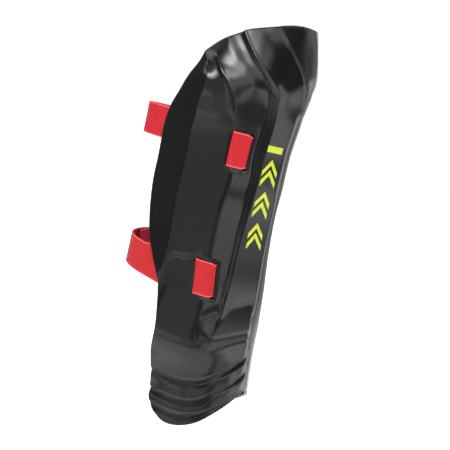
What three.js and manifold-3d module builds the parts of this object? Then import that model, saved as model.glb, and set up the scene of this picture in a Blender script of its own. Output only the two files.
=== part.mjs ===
// A ski-racing shin guard: a moulded shell, a foam liner held by hook-and-loop patches, and two elastic
// straps that pass through slots in the shell and close behind the calf.
// Millimetres. +Z runs up the leg, the shin faces -Y, and the shell is symmetric about X = 0 but for its
// bottom edge, which is higher on the +X side.
//
// The shell is described by its girth and height. Girth is the distance round the section from the front
// centre line, negative towards -X, and height is measured from the lowest point of the shell. A third
// number, the offset, is the distance outwards from the shell's base surface.
import * as THREE from "three";
import { mergeVertices } from "three/addons/utils/BufferGeometryUtils.js";
import Module from "manifold-3d";

const wasm = await Module();
wasm.setup();

// ---------------------------------------------------------------- driving dimensions

const GAP = 0.3; // left between flat pieces that touch
const CURVED_GAP = 1; // left between curved pieces, whose facets differ
const SEAT_HEIGHT = 200; // height of the leg seat, where the part's origin is
const SEAT_Y = -43; // depth of the leg seat: the liner's inner face on the centre line

const SHELL_THICKNESS = 3;
const EASE_REACH = [-14, -10, -6, -2, 2, 6, 10, 14]; // girths averaged for the eased inner surface
const INNER_RELIEF = 0.5; // share of the outer relief that the inner wall follows
const STEP_DEPTH = 1.2; // drop below each of the three steps over the ankle
const STEP_REACH = 10; // height over which the drop fades out
const GROOVE_SLOPE = 0.36; // of the ramp in the groove beside the facet
const CREASE = { height: 2.2, crest: 0.5, hollow: 0.6, fall: 6.5 }; // shingled edges over the knee
const RIGHT_EDGE_RISE = 6; // of the bottom edge on the +X side
const SHELL_COLUMNS = [1, 3, 3, 3, 5, 4]; // grid columns between the feature lines
const SHELL_ROWS = 32; // grid rows above the steps
const GRID_START = 200; // height from which the grid's points are sought
const GRID_PASSES = 14;
const GRID_PACE = 0.7; // share of the way moved at each pass
const WALK_STRIDE = 1.5; // girth walked at a time round a section

const WEB_THICKNESS = 1.8;
const LINER = { outer: -9, inner: -13, inset: 12, rows: 24, columns: 31 };
const PAD_THICKNESS = 6;
const FASTENER_THICKNESS = 1.9;
const TAPE_THICKNESS = 1;

// Each strap: height and width of the band, girth of the front and back of its bridge over the shell,
// the half width, start and depth of its loop behind the calf, and the height that it gains on the way.
const STRAPS = {
  upper: { height: 278, width: 32, front: 41, back: 60, half: 33, from: 72, depth: 39, rise: 6 },
  lower: { height: 156, width: 32, front: 51, back: 72, half: 49, from: 42, depth: 48, rise: -6 },
};
const SLOT_CLEARANCE = 0.5; // round the webbing in its slot
const SEAT = { depth: 1.2, margin: 2 }; // sunk flat under each bridge
const BRIDGE_OFFSET = [-0.8, 1]; // faces of the webbing where it crosses the bridge
const WEB_LAYERS = [-3.6, -5.8]; // outer faces of the webbing's one or two layers inside the shell
const SEWN_TAIL = 14; // length of the end that is sewn back behind the rear slot
const SLOT_MOUTH = -3.2; // offset where the webbing leaves a slot, just inside the shell

// Angles round a loop behind the calf, from 0 at the +X wing to 180 at the -X wing.
const WING_HINGE = 12;
const TAB_HINGE = 80;
const TAB_END = 30;
const INNER_END = 108;
const HINGE_CLEARANCE = 1.8; // from a hinge line to the webbing that it turns from
const OUTER_LAYER = 4.8; // between the centre lines of the loop's inner and outer halves
const GRIP = { length: 9, thickness: 2.6, width: 25 };

const COLOURS = {
  shell: [0x0b0b0d, 0.22],
  webbing: [0xc8141f, 0.75],
  tape: [0x1a1a1c, 0.9],
  foam: [0x2a2b2e, 0.95],
  padding: [0x1d1e21, 0.9],
  rubber: [0x16161a, 0.6],
};

// ---------------------------------------------------------------- curves

const clamp = (value, low, high) => Math.min(Math.max(value, low), high);
const mix = (a, b, share) => a + (b - a) * share;
const radians = (degrees) => (degrees * Math.PI) / 180;

function ease(from, to, value) {
  const share = clamp((value - from) / (to - from), 0, 1);
  return share * share * (3 - 2 * share);
}

// A smooth curve through [position, value] stations, level past both ends.
function curve(...stations) {
  const slopes = stations.slice(1).map(([x, y], i) => (y - stations[i][1]) / (x - stations[i][0]));
  const tangents = stations.map(([x], i) => {
    if (i === 0) return slopes[0];
    if (i === stations.length - 1) return slopes[i - 1];
    const before = x - stations[i - 1][0];
    const after = stations[i + 1][0] - x;
    return (slopes[i - 1] * after + slopes[i] * before) / (before + after);
  });
  return (position) => {
    const x = clamp(position, stations[0][0], stations.at(-1)[0]);
    const i = Math.max(0, stations.findIndex(([end]) => end >= x) - 1);
    const [x0, y0] = stations[i];
    const [x1, y1] = stations[i + 1];
    const span = x1 - x0;
    const t = (x - x0) / span;
    const s = 1 - t;
    return (
      s * s * (1 + 2 * t) * y0 + t * s * s * span * tangents[i] +
      t * t * (1 + 2 * s) * y1 - t * t * s * span * tangents[i + 1]
    );
  };
}

// ---------------------------------------------------------------- shell outline and feature lines

// Depth of the front centre line, by height: the shin's forward-curving profile.
const frontDepth = curve([0, -78], [60, -74], [90, -69.5], [125, -66.5], [150, -64], [180, -60], [215, -57],
  [250, -56], [285, -55], [311, -57], [333, -58], [350, -60.5], [365, -59], [380, -55], [396, -50]);

// Girth of the rear edge and of the lines that run down each side, by height.
const rearEdge = curve([0, 105], [50, 106], [77, 105.5], [110, 107], [127, 110.5], [144, 115], [157, 125],
  [175, 140], [193, 148], [213, 152], [262, 154], [288, 151.5], [303, 147], [317, 138], [338, 128.5],
  [356, 116], [396, 90]);
const spineEdge = curve([0, 7], [127, 6.5], [163, 5.2], [190, 4], [225, 2.6], [250, 3], [300, 3], [396, 4]);
const facetEdge = curve([0, 52], [110, 44], [116, 42], [131, 39.5], [146, 37], [162, 34], [178, 32.5],
  [192, 31], [209, 29], [225, 27.5], [247, 26.5], [270, 25.5], [284, 25], [303, 25.5], [314, 26.5],
  [324, 28.5], [334, 31], [342, 39], [351, 49], [359, 58], [367, 64], [374, 68], [396, 76]);
const grooveWidth = curve([0, 2.5], [110, 2.5], [131, 5], [146, 6.8], [192, 7], [208, 8], [224, 8],
  [246, 9.5], [257, 9.5], [282, 12], [301, 10.5], [396, 10.5]);
const grooveEdge = (height) => facetEdge(height) + grooveWidth(height);
const bandEdge = curve([0, 66], [100, 66], [130, 62], [181, 59], [220, 57], [252, 54], [290, 58], [309, 62.5],
  [315, 65], [325, 70.5], [334, 78], [342, 86.5], [356, 98], [396, 84]);
const rearCrease = curve([0, 101], [120, 104], [148, 109.5], [162, 106], [177, 103.5], [219, 102.5],
  [290, 102], [307, 100.5], [325, 99.5], [339, 101], [349, 107], [356, 113], [396, 88]);

// Heights of the top edge, of the three steps and of the bottom edge, by girth.
const topEdge = curve([0, 397], [15, 397], [29, 394.5], [40, 391], [63, 384.5], [81, 377.5], [100, 368],
  [116, 356.5]);
const lowStep = curve([0, 57], [8, 51], [21, 42], [32.5, 34], [44, 26], [56, 21], [70, 17.5], [86, 16],
  [106, 13.5]);
const middleStep = (girth) => lowStep(girth) + 18 - 3 * ease(25, 56, girth);
const highStep = (girth) => lowStep(girth) + 35;
const cornerRise = curve([78, 0], [84, 1.2], [90, 4], [96, 7], [102, 13], [106, 23]);

function bottomEdge(girth) {
  const g = Math.abs(girth);
  return lowStep(g) - 5.5 - 9.5 * ease(0, 80, g) + cornerRise(g) + RIGHT_EDGE_RISE * ease(10, 45, girth);
}

// Heights, by girth, where the lower leg's flat faces end and the ankle's round section begins.
const ankleLine = curve([0, 108], [13, 105.5], [36, 99.5], [48, 94.5], [69, 87], [98, 66], [108, 62]);

// How far the section turns inwards at the rear crease, in degrees, by height.
const rearFold = curve([0, 0], [130, 8], [170, 20], [240, 24], [300, 22], [352, 16], [400, 14]);

// ---------------------------------------------------------------- shell surface

// Direction of the outward normal, in degrees from straight ahead. The middle of the shell is faceted
// along the feature lines, and the knee and the ankle are round.
function normalAngle(girth, height) {
  const g = Math.abs(girth);
  const spine = spineEdge(height);
  const band = bandEdge(height);
  const faceted =
    10 * clamp(g / spine, 0, 1) +
    20 * ease(spine - 1.5, spine + 3 + 3 * ease(232, 250, height), g) +
    24 * ease(facetEdge(height), grooveEdge(height), g) +
    20 * ease(band - 5, band + 6, g) +
    12 * clamp((g - band - 6) / 45, 0, 1);
  const round = 4 + 88 * clamp(g / (0.86 * rearEdge(height)), 0, 1.3) ** 0.7;
  const line = ankleLine(g);
  const share = ease(line - 42, line, height) * (1 - ease(300, 350, height));
  const crease = rearCrease(height);
  const angle = mix(round, faceted, share) + rearFold(height) * ease(crease - 1, crease + 1, g);
  return Math.sign(girth) * angle;
}

// The point at a girth, height and offset, found by walking round the section.
function place(girth, height, offset) {
  const steps = Math.max(1, Math.ceil(Math.abs(girth) / WALK_STRIDE));
  const stride = girth / steps;
  let x = 0;
  let y = frontDepth(height);
  for (let i = 0; i < steps; i += 1) {
    const angle = radians(normalAngle((i + 0.5) * stride, height));
    x += Math.cos(angle) * stride;
    y += Math.sin(angle) * stride;
  }
  const normal = radians(normalAngle(girth, height));
  return [x + offset * Math.sin(normal), y - offset * Math.cos(normal), height];
}

const mean = (values) => values.reduce((sum, value) => sum + value, 0) / values.length;

// The same with the section's corners eased by averaging it over a short girth, for the pieces inside.
function placeSoft(girth, height, offset) {
  const near = EASE_REACH.map((step) => girth + step);
  const points = near.map((g) => place(g, height, 0));
  const normal = radians(mean(near.map((g) => normalAngle(g, height))));
  const x = mean(points.map((point) => point[0]));
  const y = mean(points.map((point) => point[1]));
  return [x + offset * Math.sin(normal), y - offset * Math.cos(normal), height];
}

// A shingled edge across a crease line: a crest in front of it, and a fall to a hollow that fades out.
function crease(girth, line, strength) {
  const d = girth - line;
  const { height, crest, hollow, fall } = CREASE;
  if (d <= 0) return strength * height * crest * (1 - ease(0, 26, -d));
  const down = 1 - (1 - clamp(d / fall, 0, 1)) ** 2;
  return strength * height * mix(crest, -hollow, down) * (1 - ease(9, 25, d));
}

// The overlapping steps over the ankle: a drop below each step line that rises to the line below it.
function stepDrop(girth, height) {
  const above = [lowStep(girth), middleStep(girth), highStep(girth)].find((line) => line > height);
  return above === undefined ? 0 : STEP_DEPTH * (1 - ease(0, STEP_REACH, above - height));
}

// The groove between the facet and the side band: a ramp that faces the calf, from its pointed lower end
// to the knee.
function grooveDrop(girth, height) {
  const across = (girth - facetEdge(height)) / grooveWidth(height);
  if (across <= 0 || across >= 0.99) return 0;
  return GROOVE_SLOPE * grooveWidth(height) * across * ease(110, 128, height) * (1 - ease(318, 345, height));
}

// Height of the outer face over the base surface. The inner wall follows a share of it.
function relief(girth, height) {
  const g = Math.abs(girth);
  const kneeCrease = crease(g, facetEdge(height), ease(320, 345, height));
  const sideCrease = crease(g, bandEdge(height), ease(300, 316, height) * (1 - ease(345, 362, height)));
  return kneeCrease + sideCrease - grooveDrop(g, height) - stepDrop(g, height);
}

const outerFace = (g, h) => place(g, h, relief(g, h));
const innerFace = (g, h) => place(g, h, INNER_RELIEF * relief(g, h) - SHELL_THICKNESS);

// ---------------------------------------------------------------- solids

// A closed solid from two grids of points with the same rows and columns. Rows go up and columns go
// towards +X, as seen from outside.
function solidBetween(outer, inner) {
  const rows = outer.length;
  const columns = outer[0].length;
  const positions = [...outer, ...inner].flat(2);
  const front = (r, c) => r * columns + c;
  const back = (r, c) => (rows + r) * columns + c;
  const index = [];
  const quad = (a, b, c, d) => index.push(a, b, c, a, c, d);
  for (let r = 0; r < rows - 1; r += 1) {
    for (let c = 0; c < columns - 1; c += 1) {
      quad(front(r, c), front(r, c + 1), front(r + 1, c + 1), front(r + 1, c));
      quad(back(r, c), back(r + 1, c), back(r + 1, c + 1), back(r, c + 1));
    }
    quad(front(r, 0), front(r + 1, 0), back(r + 1, 0), back(r, 0));
    quad(front(r + 1, columns - 1), front(r, columns - 1), back(r, columns - 1), back(r + 1, columns - 1));
  }
  for (let c = 0; c < columns - 1; c += 1) {
    quad(front(0, c + 1), front(0, c), back(0, c), back(0, c + 1));
    quad(front(rows - 1, c), front(rows - 1, c + 1), back(rows - 1, c + 1), back(rows - 1, c));
  }
  const geometry = new THREE.BufferGeometry();
  geometry.setAttribute("position", new THREE.Float32BufferAttribute(positions, 3));
  geometry.setIndex(index);
  return geometry;
}

// A closed solid from outlines that lie over each other, from the lowest up. They may run either way round.
function prism(outlines) {
  const plan = outlines[0].map(([x, y]) => new THREE.Vector2(x, y));
  const turns = THREE.ShapeUtils.isClockWise(plan) ? -1 : 1;
  const rings = turns < 0 ? outlines.map((ring) => ring.toReversed()) : outlines;
  const size = plan.length;
  const index = [];
  for (let r = 0; r < rings.length - 1; r += 1) {
    for (let i = 0; i < size; i += 1) {
      const [a, b] = [r * size + i, r * size + ((i + 1) % size)];
      index.push(a, b, b + size, a, b + size, a + size);
    }
  }
  const top = (rings.length - 1) * size;
  const caps = THREE.ShapeUtils.triangulateShape(turns < 0 ? plan.toReversed() : plan, []);
  for (const [a, b, c] of caps) index.push(c, b, a, top + a, top + b, top + c);
  const geometry = new THREE.BufferGeometry();
  geometry.setAttribute("position", new THREE.Float32BufferAttribute(rings.flat(2), 3));
  geometry.setIndex(index);
  return geometry;
}

function manifoldOf(geometry) {
  const merged = mergeVertices(geometry, 1e-4);
  return new wasm.Manifold(
    new wasm.Mesh({
      numProp: 3,
      vertProperties: merged.attributes.position.array,
      triVerts: new Uint32Array(merged.index.array),
    }),
  );
}

function geometryOf(solid) {
  const { vertProperties, triVerts } = solid.getMesh();
  const geometry = new THREE.BufferGeometry();
  geometry.setAttribute("position", new THREE.BufferAttribute(vertProperties, 3));
  geometry.setIndex(new THREE.BufferAttribute(triVerts, 1));
  return geometry;
}

const spread = (from, to, count) => Array.from({ length: count }, (_, i) => mix(from, to, i / (count - 1)));

// A slab that follows the section between two offsets, from one girth and height to another.
function slab({ girth, height, offset, columns, rows, at = placeSoft }) {
  const grid = (level) =>
    spread(...height, rows).map((h) => spread(...girth, columns).map((g) => at(g, h, level)));
  return solidBetween(grid(Math.max(...offset)), grid(Math.min(...offset)));
}

// The same solid on the other side of the centre plane.
function mirrored(geometry) {
  const copy = geometry.clone().scale(-1, 1, 1);
  const index = copy.index.array;
  for (let i = 0; i < index.length; i += 3) [index[i], index[i + 1]] = [index[i + 1], index[i]];
  return copy;
}

// ---------------------------------------------------------------- shell

// Girths of the grid's columns on one side, from the centre to the rear edge.
function columnGirths(height) {
  const features = [spineEdge, facetEdge, grooveEdge, bandEdge, rearCrease, rearEdge];
  const lines = features.map((feature) => feature(height));
  for (let i = lines.length - 2; i >= 0; i -= 1) lines[i] = Math.min(lines[i], lines[i + 1] - 2.5);
  let from = 0;
  return [0, ...lines.flatMap((to, i) => {
    const part = spread(from, to, SHELL_COLUMNS[i] + 1).slice(1);
    from = to;
    return part;
  })];
}

// Heights of the grid's rows at one girth: along the steps at the bottom, then evenly to the top edge.
function rowHeights(girth) {
  const g = Math.abs(girth);
  const low = bottomEdge(girth);
  const steps = [lowStep(g), middleStep(g), highStep(g)].flatMap((h) => [h - 0.6, h + 0.6]);
  const bottom = steps.map((h, i) => Math.max(h, low + 1.2 * (i + 1)));
  const top = spread(bottom.at(-1), topEdge(g), SHELL_ROWS).slice(1);
  return [low, ...bottom, ...top];
}

function shellGrid(face) {
  const half = (side, row) => columnGirths(GRID_START).map((_, column) => {
    let height = GRID_START;
    let girth = 0;
    for (let pass = 0; pass < GRID_PASSES; pass += 1) {
      girth = mix(girth, columnGirths(height)[column], GRID_PACE);
      height = rowHeights(side * girth)[row];
    }
    return face(side * girth, height);
  });
  return rowHeights(0).map((_, row) => [...half(-1, row).slice(1).reverse(), ...half(1, row)]);
}

// The cut for one strap on the +X side: a sunk seat over the bridge, and a slot at each end of it.
function strapCuts(strap) {
  const cut = (girth, margin, offset) =>
    slab({
      girth,
      height: [strap.height - strap.width / 2 - margin, strap.height + strap.width / 2 + margin],
      offset,
      columns: 4,
      rows: 4,
      at: place,
    });
  const slot = (girth) => cut([girth - SLOT_CLEARANCE, girth + WEB_THICKNESS + SLOT_CLEARANCE], 1, [-9, 6]);
  return [
    cut([strap.front - SEAT.margin, strap.back + SEAT.margin], SEAT.margin, [-SEAT.depth, 6]),
    slot(strap.front),
    slot(strap.back - WEB_THICKNESS),
  ];
}

function shell() {
  const cuts = Object.values(STRAPS).flatMap(strapCuts);
  let solid = manifoldOf(solidBetween(shellGrid(outerFace), shellGrid(innerFace)));
  for (const cut of [...cuts, ...cuts.map(mirrored)]) solid = solid.subtract(manifoldOf(cut));
  return geometryOf(solid);
}

// ---------------------------------------------------------------- liner and pads

function liner() {
  const grid = (level) =>
    spread(0, 1, LINER.rows).map((v) =>
      spread(-1, 1, LINER.columns).map((u) => {
        let height = GRID_START;
        let girth = 0;
        for (let pass = 0; pass < GRID_PASSES; pass += 1) {
          girth = mix(girth, u * (rearEdge(height) - LINER.inset), GRID_PACE);
          height = mix(bottomEdge(girth) + LINER.inset, topEdge(Math.abs(girth)) - LINER.inset, v);
        }
        return placeSoft(girth, height, level);
      }),
    );
  return solidBetween(grid(LINER.outer), grid(LINER.inner));
}

const PAD_OFFSET = [LINER.inner - CURVED_GAP, LINER.inner - CURVED_GAP - PAD_THICKNESS];

const PADS = {
  knee_pad: { girth: [-46, 46], height: [322, 368], columns: 17, rows: 7 },
  ankle_pad: { girth: [-42, 42], height: [82, 110], columns: 15, rows: 5 },
  shin_pad_left: { girth: [-40, -9], height: [122, 308], columns: 6, rows: 14 },
  shin_pad_right: { girth: [9, 40], height: [122, 308], columns: 6, rows: 14 },
};

// Centres of the hook-and-loop patches on one side, as [girth, height], and their size.
const FASTENERS = [[16, 120], [15, 220], [72, 218], [14, 340], [78, 80]];
const FASTENER_SIZE = [16, 26];
const HOOK_PATCH = -3.6; // outer face of the patch on the shell
const LOOP_PATCH = LINER.outer + CURVED_GAP + FASTENER_THICKNESS; // outer face of the patch on the liner

function fastener(girth, height, outer) {
  const [wide, tall] = FASTENER_SIZE;
  return slab({
    girth: [girth - wide / 2, girth + wide / 2],
    height: [height - tall / 2, height + tall / 2],
    offset: [outer, outer - FASTENER_THICKNESS],
    columns: 4,
    rows: 4,
  });
}

// ---------------------------------------------------------------- straps

// A point on the loop behind the calf. Offset is measured outwards from the inner half's centre line.
function loopPoint(strap, angle, offset = 0) {
  const t = radians(angle);
  const outward = new THREE.Vector2(Math.cos(t) * strap.depth, Math.sin(t) * strap.half).normalize();
  return new THREE.Vector2(strap.half * Math.cos(t), strap.from + strap.depth * Math.sin(t))
    .addScaledVector(outward, offset);
}

// The outer half leaves the -X wing on the inner half's path and moves out to lie over it.
const outerOffset = (angle) => OUTER_LAYER * ease(15, 62, 180 - angle);

// The unit vector that points left of a path at one of its points.
function leftOf(path, i) {
  const along = path[Math.min(path.length - 1, i + 1)].clone().sub(path[Math.max(0, i - 1)]).normalize();
  return new THREE.Vector2(-along.y, along.x);
}

// A band of even thickness along a path in plan, with a round nose where it turns on its hinge.
function band(strap, path, { thickness = WEB_THICKNESS, width = strap.width, nose = false } = {}) {
  const half = thickness / 2;
  const side = (sign) => path.map((point, i) => point.clone().addScaledVector(leftOf(path, i), sign * half));
  const start = leftOf(path, 0).angle();
  const round = spread(start, start + Math.PI, 7).slice(1, -1)
    .map((angle) => new THREE.Vector2(Math.cos(angle), Math.sin(angle)).multiplyScalar(half).add(path[0]));
  const shape = new THREE.Shape([...side(1).reverse(), ...(nose ? round : []), ...side(-1)]);
  const geometry = new THREE.ExtrudeGeometry(shape, { depth: width, bevelEnabled: false });
  return geometry.translate(0, 0, strap.height + strap.rise - width / 2);
}

function loopPath(strap, from, to, offsetAt) {
  const count = Math.max(3, Math.round(Math.abs(to - from) / 6));
  return spread(from, to, count).map((angle) => loopPoint(strap, angle, offsetAt(angle)));
}

// The angle that a length takes up on the loop where a half turns from its neighbour.
const angleOf = (strap, length) => THREE.MathUtils.radToDeg(length / ((strap.half + strap.depth) / 2));

// The fixed end of a strap on the +X side, as one ribbon. It is sewn round the bridge between the slots,
// then runs along the inside of the shell and past the rear edge, almost to the hinge line.
function anchor(strap) {
  const { front, back } = strap;
  const [single, double] = WEB_LAYERS;
  const [under, over] = BRIDGE_OFFSET;
  const inside = (offset, ...girths) => girths.map((girth) => (h) => placeSoft(girth, h, offset));
  const outside = (offset, ...girths) => girths.map((girth) => (h) => place(girth, h, offset));
  const tail = spread(back + SEWN_TAIL, front + WEB_THICKNESS, 8);
  const outline = [
    ...inside(double - WEB_THICKNESS, ...tail, front),
    ...outside(SLOT_MOUTH, front),
    ...outside(over, ...spread(front, back, 8)),
    ...outside(SLOT_MOUTH, back),
    ...innerRun(strap, back, single, 1),
    ...innerRun(strap, back - WEB_THICKNESS, single - WEB_THICKNESS, -1).reverse(),
    ...outside(SLOT_MOUTH, back - WEB_THICKNESS),
    ...outside(under, ...spread(back - WEB_THICKNESS, front + WEB_THICKNESS, 6)),
    ...outside(SLOT_MOUTH, front + WEB_THICKNESS),
    ...inside(double, ...tail.toReversed()),
  ];
  const heights = spread(strap.height - strap.width / 2, strap.height + strap.width / 2, 4);
  return prism(heights.map((h) => outline.map((at) => at(h))));
}

// One face of the webbing's run inside the shell, from the rear slot to the hinge line. Side is 1 for the
// outer face and -1 for the inner one.
function innerRun(strap, start, offset, side) {
  const hinge = loopPoint(strap, WING_HINGE);
  const back = loopPoint(strap, WING_HINGE - 2).sub(hinge).normalize();
  const face = new THREE.Vector2(-back.y, back.x).multiplyScalar((side * WEB_THICKNESS) / 2);
  const tip = hinge.clone().addScaledVector(back, HINGE_CLEARANCE).add(face);
  const inside = spread(0, 1, 9).map((u) => (h) => {
    const height = h + strap.rise * ease(0, 1, u);
    return placeSoft(mix(start, rearEdge(height) + 1.5, u), height, offset);
  });
  return [...inside, (h) => [tip.x, tip.y, h + strap.rise]];
}

// The pieces of one strap, by name. The outer half starts at the -X wing, the inner half at the +X wing.
function strapPieces(name, strap) {
  const tapeOffset = WEB_THICKNESS / 2 + GAP + TAPE_THICKNESS / 2;
  const tabStop = TAB_HINGE + angleOf(strap, HINGE_CLEARANCE);
  const gripStart = TAB_END - angleOf(strap, GAP);
  const gripEnd = gripStart - angleOf(strap, GRIP.length);
  const stretch = (from, to, offsetAt, shape) => band(strap, loopPath(strap, from, to, offsetAt), shape);
  const hinged = { nose: true };
  const tape = { thickness: TAPE_THICKNESS, width: strap.width - 3 };
  const fixed = anchor(strap);
  const strapParts = {
    anchor_left: ["webbing", mirrored(fixed)],
    anchor_right: ["webbing", fixed],
    inner: ["webbing", stretch(WING_HINGE, INNER_END, () => 0, hinged)],
    loop_tape: ["tape", stretch(TAB_END - 8, 96, () => tapeOffset, tape)],
    outer: ["webbing", stretch(180 - WING_HINGE, tabStop, outerOffset, hinged)],
    tab: ["webbing", stretch(TAB_HINGE, TAB_END, () => OUTER_LAYER, hinged)],
    hook_tape: ["tape", stretch(TAB_HINGE - 6, TAB_END, () => OUTER_LAYER - tapeOffset, tape)],
    grip: ["rubber", stretch(gripStart, gripEnd, () => OUTER_LAYER, GRIP)],
  };
  const named = Object.entries(strapParts).map(([part, piece]) => [`${name}_strap_${part}`, piece]);
  return Object.fromEntries(named);
}

// ---------------------------------------------------------------- assembly

const pieces = { shell: ["shell", shell()], liner: ["foam", liner()] };
for (const [name, pad] of Object.entries(PADS)) {
  pieces[name] = ["padding", slab({ ...pad, offset: PAD_OFFSET })];
}
FASTENERS.forEach(([girth, height], i) => {
  for (const [side, sign] of [["left", -1], ["right", 1]]) {
    pieces[`shell_hook_${i + 1}_${side}`] = ["tape", fastener(sign * girth, height, HOOK_PATCH)];
    pieces[`liner_loop_${i + 1}_${side}`] = ["tape", fastener(sign * girth, height, LOOP_PATCH)];
  }
});
for (const [name, strap] of Object.entries(STRAPS)) Object.assign(pieces, strapPieces(name, strap));

const guard = new THREE.Group();
guard.position.set(0, -SEAT_Y, -SEAT_HEIGHT);
for (const [name, [material, geometry]] of Object.entries(pieces)) {
  const [color, roughness] = COLOURS[material];
  const mesh = new THREE.Mesh(geometry, new THREE.MeshStandardMaterial({ color, roughness, metalness: 0 }));
  mesh.name = name;
  guard.add(mesh);
}

export default guard;
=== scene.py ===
"""A ski-racing shin guard: a gloss black moulded shell, a foam liner with pads, and two red elastic straps.

The shell's surface is described by girth and height in millimetres. Girth runs round the section from the
front centre line, negative towards -X, and height runs up from the shell's lowest point. Offset is the
distance outwards from the base surface. to_row turns such a point into the part's frame, in metres.
"""
import math
from functools import partial

import bmesh
import bpy
import numpy as np
from mathutils import Matrix, Vector


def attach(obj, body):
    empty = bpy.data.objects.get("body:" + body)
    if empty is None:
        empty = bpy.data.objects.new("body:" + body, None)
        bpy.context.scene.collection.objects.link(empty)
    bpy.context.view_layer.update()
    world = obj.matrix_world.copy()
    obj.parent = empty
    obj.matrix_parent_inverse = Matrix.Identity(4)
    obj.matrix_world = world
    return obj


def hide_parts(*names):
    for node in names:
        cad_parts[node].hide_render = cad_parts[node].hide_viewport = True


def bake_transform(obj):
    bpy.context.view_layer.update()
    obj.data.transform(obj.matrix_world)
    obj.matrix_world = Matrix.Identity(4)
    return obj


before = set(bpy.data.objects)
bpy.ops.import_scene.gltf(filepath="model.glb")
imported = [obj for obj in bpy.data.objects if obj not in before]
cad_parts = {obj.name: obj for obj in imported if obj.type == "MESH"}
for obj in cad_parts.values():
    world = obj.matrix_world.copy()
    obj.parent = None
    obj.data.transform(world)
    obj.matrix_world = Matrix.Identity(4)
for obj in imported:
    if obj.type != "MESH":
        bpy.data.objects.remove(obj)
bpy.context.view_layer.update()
MM = 0.001
SEAT_HEIGHT = 200
SEAT_DEPTH = 43
SIDES = {"left": -1, "right": 1}

# ---------------------------------------------------------------- camera, floor and light

TARGET = Vector((0, 0.038, 0))
AZIMUTH, ELEVATION, ROLL = (math.radians(a) for a in (-57, 11, 14))
CAMERA_DISTANCE = 0.6
SENSOR_WIDTH, LENS = 36, 48
FLOOR_LEVEL = -0.55
FLOOR_REACH = 12


def direction(azimuth, elevation):
    """The unit vector at an azimuth from straight ahead of the shin and an elevation, in radians."""
    flat = math.cos(elevation)
    return Vector((math.sin(azimuth) * flat, -math.cos(azimuth) * flat, math.sin(elevation)))


def add_camera():
    back = direction(AZIMUTH, ELEVATION)
    right = Vector((math.cos(AZIMUTH), math.sin(AZIMUTH), 0))
    up = back.cross(right)
    across = right * math.cos(ROLL) + up * math.sin(ROLL)
    upright = up * math.cos(ROLL) - right * math.sin(ROLL)
    data = bpy.data.cameras.new("camera")
    data.sensor_width = SENSOR_WIDTH
    data.lens = LENS
    camera = bpy.data.objects.new("camera", data)
    camera.matrix_world = Matrix.Translation(TARGET + back * CAMERA_DISTANCE) @ Matrix(
        (across, upright, back)
    ).transposed().to_4x4()
    bpy.context.scene.collection.objects.link(camera)
    bpy.context.scene.camera = camera


def add_floor():
    mesh = bpy.data.meshes.new("floor")
    s = FLOOR_REACH
    mesh.from_pydata([(-s, -s, 0), (s, -s, 0), (s, s, 0), (-s, s, 0)], [], [(0, 1, 2, 3)])
    floor = bpy.data.objects.new("floor", mesh)
    floor.location.z = FLOOR_LEVEL
    floor.visible_glossy = False
    bpy.context.scene.collection.objects.link(floor)
    material = bpy.data.materials.new("floor")
    material.use_nodes = True
    shader = material.node_tree.nodes["Principled BSDF"]
    shader.inputs["Base Color"].default_value = (0.95, 0.95, 0.95, 1)
    shader.inputs["Roughness"].default_value = 0.9
    shader.inputs["Emission Color"].default_value = (1, 1, 1, 1)
    shader.inputs["Emission Strength"].default_value = 0.75
    mesh.materials.append(material)


# Soft panels of the studio: azimuth from straight ahead of the shin and elevation, in degrees, as
# (from, to, softness), and brightness.
PANELS = {
    "front": ((-12, 6, 4), (-18, -2.4, 3), 2.2),
    "front_right": ((9, 17, 4), (-20, -5, 3), 1.9),
    "front_left": ((-44, -10, 4), (-6, 1.5, 3), 2.6),
    "band": ((-55, -48, 3), (-10, 2.5, 2.4), 2.1),
    "left_high": ((-80, -48, 12), (5, 40, 9), 1.7),
    "strip": ((19, 39, 6), (-26, 10, 6), 4.6),
    "strip_high": ((14, 44, 10), (8, 42, 8), 1.5),
    "spine_wall": ((42, 105, 10), (-34, 30, 10), 1.1),
    "box": ((-122, -100, 12), (31, 39, 8), 13),
    "box_glow": ((-112, -74, 14), (24, 40, 9), 6.5),
    "box_edge": ((-160, -136, 14), (20, 27, 8), 3),
    "left_wall": ((-122, -76, 12), (-32, 14, 10), 0.44),
    "table": ((-150, 170, 20), (-89, -32, 6), 1.35),
    "table_front": ((-40, 170, 10), (-26, -15, 6), 1.35),
    "table_middle": ((-82, -50, 10), (-26, -15, 6), 0.9),
    "table_left": ((-150, -92, 10), (-26, -15, 6), 0.8),
    "ceiling": ((-179, 179, 1), (44, 89, 14), 0.5),
}
ROOM_LIGHT = 0.12


def plug(links, socket, value):
    """Links an output to a socket, or sets the socket to a plain value."""
    if isinstance(value, bpy.types.NodeSocket):
        links.new(value, socket)
    else:
        socket.default_value = value


def math_node(nodes, links, operation, *values):
    node = nodes.new("ShaderNodeMath")
    node.operation = operation
    for socket, value in zip(node.inputs, values):
        plug(links, socket, value)
    return node.outputs[0]


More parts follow.
